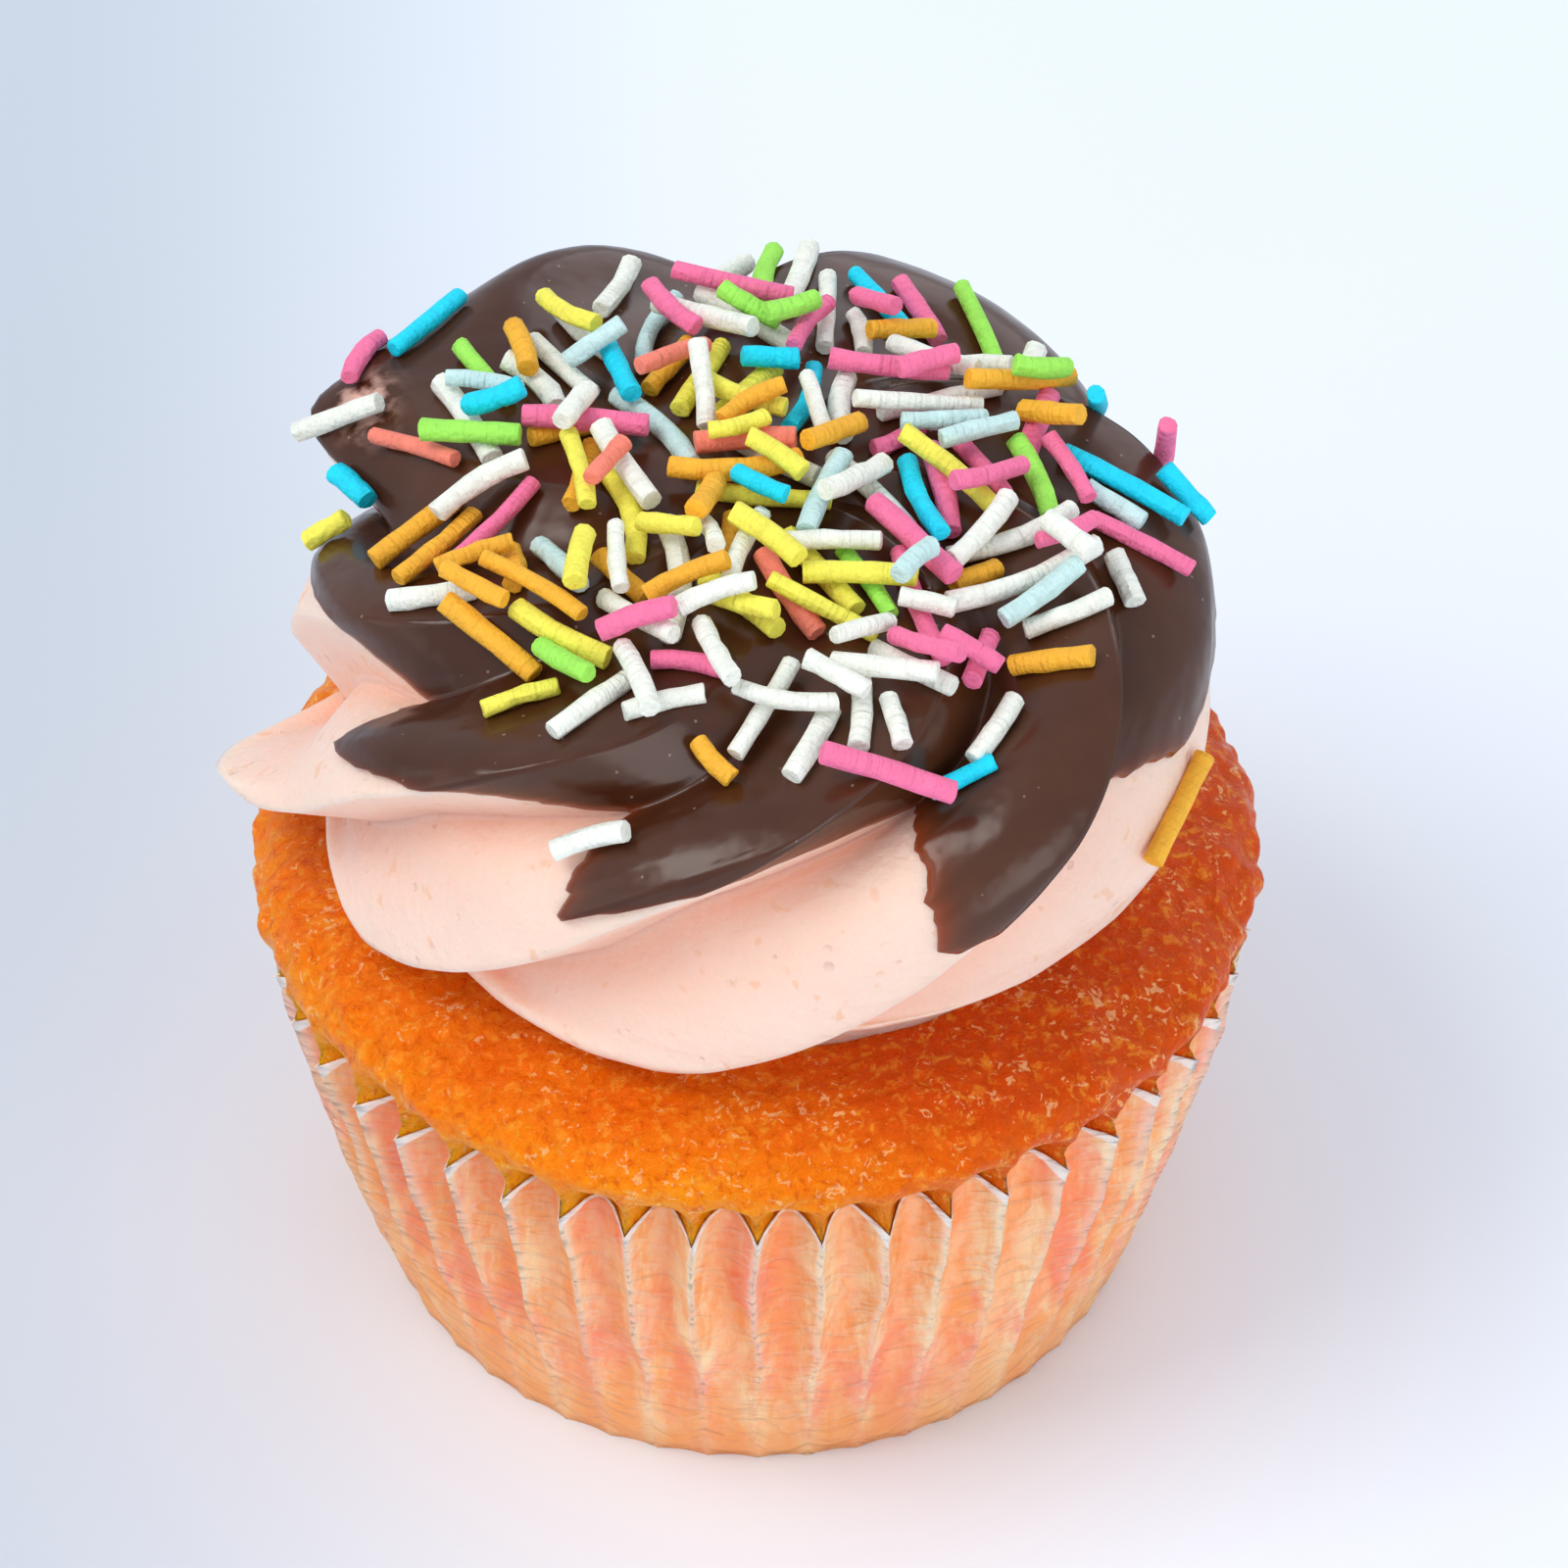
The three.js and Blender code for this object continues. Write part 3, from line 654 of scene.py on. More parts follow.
@dataclass(frozen=True)
class PressedSugar(Finish):
    """Coloured sugar paste, pushed out as a thin rod, dried and broken up.

    It dries chalky and a little lumpy, with the dye slightly uneven and faint rings round it,
    ring_rate of them to a millimetre. dye, chalk: sizes in millimetres of both patterns.
    """

    tint: str = "#ffffff"
    dye: float = 1.2
    chalk: float = 0.35
    ring_rate: float = 2.6

    def build(self) -> Material:
        """Returns the material of one colour of sprinkle."""
        tree, place = self.start()
        dye = add_node(tree, "ShaderNodeTexNoise", inputs={
            "Vector": place, "Scale": per(self.dye), "Detail": 4.0, "Roughness": 0.65})
        shade = add_node(tree, "ShaderNodeMapRange", inputs={
            "Value": dye, "From Min": 0.3, "From Max": 0.7, "To Min": 0.88, "To Max": 1.06})
        colour = add_node(tree, "ShaderNodeVectorMath", {"operation": "SCALE"}, {
            0: linear(self.tint)[:3], "Scale": shade})
        chalk = add_node(tree, "ShaderNodeTexNoise", inputs={
            "Vector": place, "Scale": per(self.chalk), "Detail": 3.0})
        along = add_node(tree, "ShaderNodeAttribute", {"attribute_name": "along"}).outputs["Fac"]
        rings = add_node(tree, "ShaderNodeTexNoise", {"noise_dimensions": "1D"}, {
            "W": along, "Scale": self.ring_rate, "Detail": 1.0})
        level = add_node(tree, "ShaderNodeMath", {"operation": "ADD"}, {0: rings, 1: chalk})
        bump = add_node(tree, "ShaderNodeBump", inputs={
            "Strength": 1.0, "Distance": 0.17 * MM, "Height": level})
        return self.close(tree, {
            "Base Color": colour, "Normal": bump, "Roughness": 0.68, "Subsurface Weight": 0.15,
            "Subsurface Radius": (1.0, 0.8, 0.6), "Subsurface Scale": 0.5 * MM})


@dataclass(frozen=True)
class MattTable(Finish):
    """A sheet of matt white board under the cupcake, with painted shade that greys it to the left.

    Its fibres are far too fine to show, so only a broad cloudiness is drawn. cloud: its size in
    millimetres. greyest: how far to the left the painted shade is full.
    """

    white: str = "#eef5fd"
    painted_shade_grey: str = "#cad3de"
    greyest: float = 60.0
    cloud: float = 40.0

    def build(self) -> Material:
        """Returns the table's material."""
        tree, place = self.start()
        axes = add_node(tree, "ShaderNodeSeparateXYZ", inputs={0: place})
        # Painted shade: the board greys towards the left.
        tone = layered(tree, self.painted_shade_grey, (
            Layer(self.white, axes.outputs["X"], -self.greyest * MM, 0.0, soft=True),))
        cloud = add_node(tree, "ShaderNodeTexNoise", inputs={
            "Vector": place, "Scale": per(self.cloud), "Detail": 2.0})
        shade = add_node(tree, "ShaderNodeMapRange", inputs={
            "Value": cloud, "To Min": 0.985, "To Max": 1.0})
        colour = add_node(tree, "ShaderNodeVectorMath", {"operation": "SCALE"}, {0: tone, "Scale": shade})
        return self.close(tree, {"Base Color": colour, "Roughness": 0.8})


# ---------------------------------------------------------------------------------------------
# Paper case and sponge


@dataclass
class PaperCase:
    """The pleated case: one pleat is drawn, and a tree repeats it round the cake.

    belly: how far its side swells out. fold_rise: how much higher the inner folds stand than the
    outer ones at the rim. rim_band: how far down the white of the rim reaches. crumple: the
    inputs of the crumpling, shared with the cake.
    """

    pleats: int = 48
    base_radius: float = 25.0
    rim_radius: float = 32.2
    height: float = 28.2
    belly: float = 0.5
    depth_base: float = 0.25
    depth_rim: float = 2.9
    depth_power: float = 1.2
    fold_rise: float = 0.8
    rim_band: float = 1.6
    wall: float = 0.16
    columns: int = 12
    rows: int = 30
    floor_rows: int = 4
    seam: float = 0.01
    crumple: dict[str, float] = field(default_factory=lambda: {
        "Size": 7 * MM, "Depth": 1.8 * MM, "Seed": 3.0, "Held To": 6 * MM, "Fades Over": 29 * MM})
    finish: GreasedPaper = field(default_factory=lambda: GreasedPaper("greaseproof_paper"))

    def fold_radius(self, share: Any) -> Any:
        """Radius of the outer folds at a share of the way up."""
        return (self.base_radius + (self.rim_radius - self.base_radius) * share
                + self.belly * np.sin(np.pi * share))

    def pleat_depth(self, share: Any) -> Any:
        """Depth of the pleats at a share of the way up."""
        return self.depth_base + (self.depth_rim - self.depth_base) * share ** self.depth_power

    def dip(self, across: np.ndarray) -> np.ndarray:
        """How far the paper has turned in, from a sharp outer fold at nought to a round inner one."""
        away = np.abs(across)
        return away * (2 - away)

    def one_pleat(self) -> Piece:
        """Draws one pleat from the middle of the floor, up outside, over the rim and back.

        Returns:
            A strip of mesh that is one share of the circle wide, with attributes fold and rim.
        """
        across = np.linspace(-1, 1, self.columns + 1)
        dip = self.dip(across)
        shares = np.linspace(0, 1, self.rows + 1)
        outer = [self.ring(share, dip, across, 0.0) for share in shares]
        inner = [self.ring(share, dip, across, self.wall) for share in shares[::-1]]
        drawn_in = np.arange(self.floor_rows) / self.floor_rows
        floor_out = [outer[0] * (share, share, 0) for share in drawn_in]
        floor_in = [inner[-1] * (share, share, 0) + (0, 0, self.wall) for share in drawn_in[::-1]]
        rings = np.array(floor_out + outer + inner + floor_in)
        rows, count = rings.shape[:2]
        faces = [(i * count + j, i * count + j + 1, (i + 1) * count + j + 1, (i + 1) * count + j)
                 for i in range(rows - 1) for j in range(count - 1)]
        fold = np.tile(1 - dip, (rows, 1))
        drop = self.height - rings[..., 2] - self.fold_rise * fold
        return mesh_object("one_pleat", rings.reshape(-1, 3), faces,
                           {"fold": fold, "rim": np.clip(1 - drop / self.rim_band, 0, 1)})

    def ring(self, share: float, dip: np.ndarray, across: np.ndarray, inset: float) -> np.ndarray:
        """Draws a line across one pleat.

        Args:
            share: how far up it lies.
            dip: how far the paper has turned in at each point.
            across: place of each point, from minus one to one.
            inset: how far inside the paper's outer face it lies.

        Returns:
            The points in millimetres.
        """
        radius = self.fold_radius(share) - dip * self.pleat_depth(share) - inset
        level = self.height * share + (dip - 1) * self.fold_rise * (share == 1)
        return polar(radius, across * math.pi / self.pleats, np.maximum(level, inset))

    def tree(self) -> Tree:
        """Builds the tree that repeats the pleat round the circle and crumples the paper.

        Returns:
            A Geometry Nodes tree with inputs Pleats and Material, and those of the crumpling.
        """
        tree, given, out = new_tree("pleats_round_a_circle", tuple(self.crumple), "Pleats")
        points = add_node(tree, "GeometryNodePoints", inputs={"Count": given.outputs["Pleats"]})
        number = add_node(tree, "GeometryNodeInputIndex")
        pitch = add_node(tree, "ShaderNodeMath", {"operation": "DIVIDE"}, {
            0: 2 * math.pi, 1: given.outputs["Pleats"]})
        bearing = add_node(tree, "ShaderNodeMath", {"operation": "MULTIPLY"}, {0: number, 1: pitch})
        euler = add_node(tree, "ShaderNodeCombineXYZ", inputs={"Z": bearing})
        turn = add_node(tree, "FunctionNodeEulerToRotation", inputs={0: euler})
        placed = add_node(tree, "GeometryNodeInstanceOnPoints", inputs={
            "Points": points, "Instance": given, "Rotation": turn})
        real = add_node(tree, "GeometryNodeRealizeInstances", inputs={0: placed})
        joined = add_node(tree, "GeometryNodeMergeByDistance", inputs={
            "Geometry": real, "Distance": self.seam * MM})
        moved = add_node(tree, "GeometryNodeGroup", {"node_tree": crumple_tree()}, {
            "Geometry": joined, **{name: given.outputs[name] for name in self.crumple}})
        rounded = add_node(tree, "GeometryNodeSetShadeSmooth", inputs={"Geometry": moved})
        dressed = add_node(tree, "GeometryNodeSetMaterial", inputs={
            "Geometry": rounded, "Material": given.outputs["Material"]})
        plug(tree, out, {0: dressed})
        return tree

    def build(self) -> list[Piece]:
        """Makes the case in place of its solid."""
        case = grow(self.one_pleat(), "pleated_case", self.tree(), {
            "Pleats": self.pleats, "Material": self.finish.build(), **self.crumple})
        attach(case, "root")
        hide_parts("paper_case")
        return [case]


@dataclass
class Sponge:
    """The cake: it fills the pleats up to the rim and swells over them in a rounded shoulder.

    clearance: the gap to the paper, below and above clearance_levels. shoulder_flutes: how much
    of the pleats' depth still shows on the shoulder. crumb_from, crumb_band: the level where the
    unevenness of the crumb sets in, and how soon it is full.
    """

    case: PaperCase
    floor: float = 0.9
    wall_levels: tuple[float, ...] = (5.0, 10.0, 14.0, 18.0, 21.0, 24.0, 25.5, 26.5, 27.2, 27.8)
    clearance: tuple[float, float] = (0.42, 0.28)
    clearance_levels: tuple[float, float] = (24.0, 27.0)
    shoulder_radii: tuple[float, ...] = (31.6, 31.9, 32.3, 32.2, 31.4, 30.0, 28.3, 26.4)
    shoulder_levels: tuple[float, ...] = (28.45, 29.5, 30.6, 31.7, 32.9, 33.9, 34.6, 35.0)
    shoulder_flutes: tuple[float, ...] = (1.0, 0.5, 0.15, 0.0, 0.0, 0.0, 0.0, 0.0)
    shoulder_rows: int = 56
    top_radii: tuple[float, ...] = (25.2, 24.0, 22.0, 16.0, 8.0)
    top: float = 35.0
    columns_per_pleat: int = 10
    crumb: tuple[Triple, ...] = ((0.5, 9.0, 1.0), (0.3, 3.2, 4.0), (0.36, 1.4, 7.0))
    crumb_lift: float = 0.6
    crumb_from: float = 28.8
    crumb_band: float = 1.6
    finish: MoistCrumb = field(default_factory=lambda: MoistCrumb("moist_orange_sponge"))

    def flute(self, bearings: np.ndarray) -> np.ndarray:
        """How far in the paper makes each column lie, from nought to one."""
        turn = bearings * self.case.pleats / (2 * np.pi)
        return self.case.dip(2 * (turn - np.floor(turn + 0.5)))

    def wall(self, bearings: np.ndarray) -> np.ndarray:
        """Draws the fluted wall, from the floor to the rim.

        Args:
            bearings: bearing of each column.

        Returns:
            Points by ring and column.
        """
        levels = np.array([self.floor, *self.wall_levels])
        share = levels[:, None] / self.case.height
        clear = np.interp(levels, self.clearance_levels, self.clearance)[:, None]
        radius = self.case.fold_radius(share) - clear - self.case.pleat_depth(share) * self.flute(bearings)
        return polar(radius, bearings, levels[:, None])

    def shoulder(self, bearings: np.ndarray) -> np.ndarray:
        """Draws the shoulder and the flat top, with the crumb's unevenness.

        Args:
            bearings: bearing of each column.

        Returns:
            Points by ring and column.
        """
        chord = np.hypot(np.diff(self.shoulder_radii), np.diff(self.shoulder_levels))
        travel = np.concatenate([[0], np.cumsum(chord)])
        at = np.linspace(0, travel[-1], self.shoulder_rows)
        flat = np.ones(len(self.top_radii))
        radius = np.concatenate([smooth(travel, self.shoulder_radii, at), self.top_radii])[:, None]
        level = np.concatenate([smooth(travel, self.shoulder_levels, at), self.top * flat])[:, None]
        flutes = np.concatenate([smooth(travel, self.shoulder_flutes, at), 0 * flat])[:, None]
        rings = polar(radius - flutes * self.flute(bearings) * self.case.depth_rim, bearings, level)
        out = polar(np.ones(len(bearings)), bearings, self.crumb_lift)
        swell = uneven(rings, self.crumb) * np.clip((level - self.crumb_from) / self.crumb_band, 0, 1)
        return rings + out * swell[..., None]

    def build(self) -> list[Piece]:
        """Makes the sponge in place of its solid."""
        count = self.case.pleats * self.columns_per_pleat
        bearings = np.arange(count) * 2 * np.pi / count
        rings = np.concatenate([self.wall(bearings), self.shoulder(bearings)])
        plain = ring_body("plain_cake", (0, 0, self.floor), rings, (0, 0, self.top), self.finish.build())
        cake = grow(plain, "sponge_cake", crumple_tree(), self.case.crumple)
        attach(cake, "root")
        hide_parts("sponge")
        return [cake]


# ---------------------------------------------------------------------------------------------
# Piped swirl and its chocolate


@dataclass(frozen=True)
class Ridge:
    """One ridge of the swirl.

    bearings: the groove before it, in degrees at the three bearing steps.
    depth: how deep that groove is. foot, crown: how far the ridge reaches out low and high.
    tip, tip_phase: where the chocolate runs lowest. edge: how low it runs in the groove.
    before, after: how the chocolate's edge bends before and after the tip.
    """

    bearings: Triple
    depth: float
    foot: float
    crown: float
    tip: float
    tip_phase: float
    edge: float
    before: float = 1.0
    after: float = 0.9


@dataclass(frozen=True)
class Swell:
    """A local swell on one ridge: how far it reaches out and up, and where.

    step, phase: its middle. spread, width: its size up the ridge and across it.
    """

    ridge: int
    reach: float
    lift: float
    step: float
    spread: float
    phase: float
    width: float


@dataclass
class Swirl:
    """The form of the piped swirl: seven ridges that wind up from the foot to the crown.

    steps, radii, heights: its plain outline. bearing_steps: the steps at which each groove has
    its bearings. crest: the phase where a ridge stands highest. depth_steps, depth_shares: how
    deep the grooves are on the way up. foot_step, crown_step, reach_spread: where the ridges
    reach out low and high. face_turn: the part of a half wave that makes a ridge's face, and
    drop_power: how it drops behind the crest. nudge: half the step over which a slope is taken.
    """

    centre: tuple[float, float] = (-0.6, 1.3)
    steps: tuple[float, ...] = (0, 0.09, 0.2, 0.32, 0.45, 0.58, 0.72, 0.86, 1)
    radii: tuple[float, ...] = (24.4, 28.2, 29.3, 29.7, 28.9, 26.2, 21.0, 12.4, 0)
    heights: tuple[float, ...] = (35.3, 37.3, 39.8, 44.3, 51.2, 55.8, 58.0, 59.1, 59.6)
    bearing_steps: Triple = (0.2, 0.45, 0.7)
    crest: float = 0.74
    depth_steps: tuple[float, ...] = (0, 0.25, 0.5, 0.7, 0.85, 1)
    depth_shares: tuple[float, ...] = (0.7, 1, 1, 0.7, 0.3, 0)
    ridges: tuple[Ridge, ...] = (
        Ridge((116, 146, 178), 5.6, 0.0, -1.0, 0.45, 0.5, 0.6, before=0.45),
        Ridge((178, 194, 218), 4.6, 0.0, 1.0, 0.45, 0.4, 0.65, after=1.5),
        Ridge((195, 226, 264), 3.7, 0.5, 0.6, 0.42, 0.6, 0.63, before=0.9),
        Ridge((235, 268, 312), 4.4, 0.0, 2.5, 0.39, 0.66, 0.61),
        Ridge((285, 318, 352), 3.1, -1.4, -0.3, 0.39, 0.55, 0.45),
        Ridge((350, 375, 403), 4.4, 0.0, 1.2, 0.4, 0.6, 0.47),
        Ridge((410, 438, 463), 3.0, 0.0, 1.8, 0.42, 0.6, 0.5, after=2.5),
    )
    foot_step: float = 0.08
    crown_step: float = 0.5
    reach_spread: float = 0.16
    face_turn: float = 0.42
    drop_power: float = 1.25
    nudge: float = 0.001
    beak: Swell = Swell(1, 5.2, 0.8, 0.18, 0.13, 0.55, 0.55)
    curl: Swell = Swell(6, 5.5, -0.5, 0.62, 0.045, 0.84, 0.09)
    hump: Swell = Swell(6, 2.3, 2.2, 0.62, 0.16, 0.3, 0.24)

    def groove(self, groove: np.ndarray, step: np.ndarray) -> np.ndarray:
        """Finds where a groove runs; groove seven is groove nought, one turn on.

        Args:
            groove: number of the groove.
            step: place up the swirl, from nought to one.

        Returns:
            Its bearing in degrees.
        """
        count = len(self.ridges)
        table = np.stack([smooth(self.bearing_steps, row.bearings, step) for row in self.ridges])
        picked = np.take_along_axis(table, (groove % count)[None], 0)[0]
        return picked + 360 * (groove // count)

    def wave(self, phase: np.ndarray) -> np.ndarray:
        """Shapes a ridge across its width: a full face to the crest, then a short drop.

        Args:
            phase: place across it, from nought to one.

        Returns:
            How far it stands up, from nought to one.
        """
        turn = self.face_turn * np.pi
        rise = np.sin(turn * phase / self.crest) / np.sin(turn)
        drop = np.clip((1 - phase) / (1 - self.crest), 0, 1) ** self.drop_power
        return np.where(phase < self.crest, rise, drop)

    def of(self, name: str, ridge: np.ndarray) -> np.ndarray:
        """One field of each ridge that is asked for."""
        return np.array([getattr(row, name) for row in self.ridges])[ridge % len(self.ridges)]

    def profile(self, step: Any) -> tuple[np.ndarray, np.ndarray]:
        """Radius and height of the plain outline."""
        return smooth(self.steps, self.radii, step), smooth(self.steps, self.heights, step)

    def point(self, ridge: Any, phase: Any, step: Any, offset: Any) -> np.ndarray:
        """Points of the buttercream's face, moved off it along the plain outline's normal.

        Args:
            ridge: number of the ridge.
            phase: place across it, from nought to one.
            step: place up it, from nought to one.
            offset: distance off the face in millimetres.

        Returns:
            Points in millimetres.
        """
        ridge, phase, step, offset = np.broadcast_arrays(ridge, np.asarray(phase, float),
                                                         np.asarray(step, float), offset)
        below = self.profile(np.maximum(step - self.nudge, 0))
        above = self.profile(np.minimum(step + self.nudge, 1))
        run, rise = above[0] - below[0], above[1] - below[1]
        length = np.hypot(run, rise)
        run, rise = run / length, rise / length
        wave = self.wave(phase)
        depth = self.of("depth", ridge) * (1 - phase) + self.of("depth", ridge + 1) * phase
        depth = depth * smooth(self.depth_steps, self.depth_shares, step)
        reach = (self.of("foot", ridge) * bell(step, self.foot_step, self.reach_spread)
                 + self.of("crown", ridge) * bell(step, self.crown_step, self.reach_spread))
        out = wave * reach - depth * (1 - wave) + offset
        radius, height = self.profile(step)
        radius, height = radius + rise * out, height - run * out
        beak = self.beak
        across = np.maximum(1 - np.abs(phase - beak.phase) / beak.width, 0)
        swell = np.where(ridge == beak.ridge, bell(step, beak.step, beak.spread) * across, 0)
        radius, height = radius + beak.reach * swell, height + beak.lift * swell
        for local in (self.curl, self.hump):
            swell = bell(step, local.step, local.spread) * bell(phase, local.phase, local.width)
            swell = np.where(ridge == local.ridge, swell, 0)
            radius, height = radius + local.reach * swell, height + local.lift * swell
        start, end = self.groove(ridge, step), self.groove(ridge + 1, step)
        bearing = np.radians(start + (end - start) * phase)
        return polar(radius, bearing, height) + (*self.centre, 0)

    def coat_edge(self, ridge: Any, phase: Any) -> np.ndarray:
        """Finds where the chocolate starts.

        Args:
            ridge: number of the ridge.
            phase: place across it, from nought to one.

        Returns:
            The step at which it starts.
        """
        tip, middle = self.of("tip", ridge), self.of("tip_phase", ridge)
        edge, after = self.of("edge", ridge), self.of("edge", ridge + 1)
        rise, fall = self.of("before", ridge), self.of("after", ridge)
        before = edge + (tip - edge) * np.clip(phase / middle, 0, 1) ** rise
        beyond = tip + (after - tip) * np.clip((phase - middle) / (1 - middle), 0, 1) ** fall
        return np.where(phase < middle, before, beyond)

    def columns(self, rising: int, falling: int) -> tuple[np.ndarray, np.ndarray]:
        """Shares the columns of a mesh out over the ridges.

        Args:
            rising, falling: how many columns lie before and after each crest.

        Returns:
            Ridge and phase of each column.
        """
        before = np.linspace(0, self.crest, rising, endpoint=False)
        after = np.linspace(self.crest, 1, falling, endpoint=False)
        phases = np.concatenate([before, after])
        count = len(self.ridges)
        return np.repeat(np.arange(count), len(phases)), np.tile(phases, count)


@dataclass
class Buttercream:
    """The piped buttercream on the sponge.

    foot: the level it is pressed down to. sag: how far its lowest rows sink towards that, and
    sag_band: how soon that fades, in steps up the swirl. middle: the level its waves swell out
    from. frill: the raggedness of the lowest rows, up and down.
    """

    swirl: Swirl
    foot: float = 34.7
    sag: float = 0.6
    sag_band: float = 0.05
    rows: int = 120
    spacing: float = 1.15
    rising: int = 16
    falling: int = 8
    last_step: float = 0.95
    middle: float = 44.0
    waves: tuple[Triple, ...] = ((0.22, 8.0, 11.0), (0.1, 2.6, 13.0))
    frill: tuple[Triple, ...] = ((0.35, 2.2, 17.0), (0.3, 1.1, 19.0))
    frill_rows: int = 14
    fold_power: float = 1.5
    finish: PipedButtercream = field(default_factory=lambda: PipedButtercream("pale_pink_buttercream"))

    def build(self) -> list[Piece]:
        """Makes the buttercream in place of its solid."""
        ridge, phase = self.swirl.columns(self.rising, self.falling)
        step = np.linspace(0, 1, self.rows)[:, None] ** self.spacing * self.last_step
        rings = self.swirl.point(ridge, phase, step, 0.0)
        outward = rings - (*self.swirl.centre, self.middle)
        outward /= np.linalg.norm(outward, axis=-1, keepdims=True)
        rings = rings + outward * uneven(rings, self.waves)[..., None]
        fading = np.linspace(1, 0, self.frill_rows)[:, None]
        rings[:self.frill_rows, :, 2] += uneven(rings[:self.frill_rows], self.frill) * fading
        sunk = rings[..., 2] - self.sag * np.exp(-step / self.sag_band)
        rings[..., 2] = np.maximum(sunk, self.foot)
        rings[0, :, 2] = self.foot
        # How deep in a groove each column lies, which the finish paints darker as painted shade.
        hollow = np.clip(1 - self.swirl.wave(phase), 0, 1) ** self.fold_power
        cream = ring_body("piped_buttercream", (*self.swirl.centre, self.foot), rings,
                          (*self.swirl.centre, self.swirl.heights[-1]), self.finish.build(),
                          {"fold": np.broadcast_to(hollow, rings.shape[:2])})
        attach(cream, "root")
        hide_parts("buttercream")
        return [cream]


@dataclass
class ChocolateCoat:
    """The chocolate over the crown, with a tongue down each ridge and a soft rounded lip.

    inside, face: how far its two sides stand off the buttercream. thin: how wide the rounded lip
    is. thick: how far from the edge it reaches its full depth. step_length: millimetres in the
    swirl's whole rise. rim_band: how wide the thin edge shows. ragged: the edge's unevenness, in
    steps. tear: where the curl tore, as step and phase off the curl's own, each with its spread.
    """

    swirl: Swirl
    inside: float = 0.05
    face: float = 1.3
    thin: float = 0.6
    thick: float = 4.5
    rows: int = 96
    spacing: float = 1.6
    inner_rows: int = 12
    rising: int = 28
    falling: int = 14
    last_step: float = 0.95
    step_length: float = 50.0
    rim_band: float = 0.45
    ragged: tuple[Triple, ...] = ((0.010, 2.4, 21.0), (0.007, 1.0, 23.0), (0.004, 0.6, 29.0))
    ripple: tuple[Triple, ...] = ((0.16, 6.0, 25.0), (0.06, 2.2, 27.0))
    tear: tuple[tuple[float, float], tuple[float, float]] = ((0.03, 0.02), (-0.06, 0.04))
    finish: PouredChocolate = field(default_factory=lambda: PouredChocolate("poured_dark_chocolate"))

    def thickness(self, distance: np.ndarray) -> np.ndarray:
        """Thickens the chocolate from its edge: a round lip, then a slow rise.

        Args:
            distance: millimetres from the edge.

        Returns:
            The share of the full thickness.
        """
        rounded = np.sqrt(1 - (1 - np.clip(distance / self.thin, 0, 1)) ** 2)
        swell = np.clip(distance / self.thick, 0, 1)
        return 0.5 * rounded + 0.5 * swell * swell * (3 - 2 * swell)

    def torn(self, ridge: np.ndarray, phase: np.ndarray, step: np.ndarray) -> np.ndarray:
        """Finds where the chocolate is torn off the cream.

        Args:
            ridge, phase, step: the points' places on the swirl.

        Returns:
            How far it is torn at each, from nought to one.
        """
        curl, (up, across) = self.swirl.curl, self.tear
        near = bell(step, curl.step + up[0], up[1]) * bell(phase, curl.phase + across[0], across[1])
        return near * (ridge == curl.ridge)

    def build(self) -> list[Piece]:
        """Makes the coat in place of its solid."""
        ridge, phase = self.swirl.columns(self.rising, self.falling)
        edge = self.swirl.coat_edge(ridge, phase)
        edge = edge + uneven(self.swirl.point(ridge, phase, edge, 0.0), self.ragged)
        step = edge + (self.last_step - edge) * np.linspace(0, 1, self.rows)[:, None] ** self.spacing
        distance = (step - edge) * self.step_length
        curve = self.thickness(distance)
        outer = self.swirl.point(ridge, phase, step, self.inside + (self.face - self.inside) * curve)
        outer[..., 2] += uneven(outer, self.ripple) * curve
        under = edge + (self.last_step - edge) * np.linspace(1, 0, self.inner_rows)[:, None]
        inner = self.swirl.point(ridge, phase, under, self.inside)
        rim = np.concatenate([np.ones(under.shape), np.exp(-distance[1:] / self.rim_band)])
        torn = np.concatenate([np.zeros(under.shape), self.torn(ridge, phase, step[1:])])
        centre, crown = self.swirl.centre, self.swirl.heights[-1]
        coat = ring_body("poured_chocolate", (*centre, crown + self.inside),
                         np.concatenate([inner, outer[1:]]), (*centre, crown + self.face),
                         self.finish.build(), {"rim": rim, "torn": torn})
        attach(coat, "root")
        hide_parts("chocolate_coat")
        return [coat]


# ---------------------------------------------------------------------------------------------
# Sprinkles


class Sugar(Enum):
    """The colours of the sprinkles."""

    WHITE = "#f9fcf0"
    ICE = "#d0f0ee"
    YELLOW = "#fff65c"
    ORANGE = "#ffba30"
    PINK = "#ff7aa8"
    CORAL = "#ff8a74"
    BLUE = "#00e0ff"
    GREEN = "#a6f45e"


@dataclass(frozen=True)
class Stray:
    """A sprinkle that stands apart near the edge of the coat."""

    x: float
    y: float
    heading: float
    length: float
    sugar: Sugar


@dataclass(frozen=True)
class Clump:
    """How common a colour is, the place where most of it fell, and how widely."""

    sugar: Sugar
    share: float
    x: float
    y: float
    spread: float


@dataclass
class Rod:
    """One sprinkle, by its two ends."""

    start: np.ndarray
    end: np.ndarray
    sugar: Sugar

    def at(self, count: int) -> np.ndarray:
        """Points along it, from end to end."""
        return self.start + (self.end - self.start) * np.linspace(0, 1, count)[:, None]


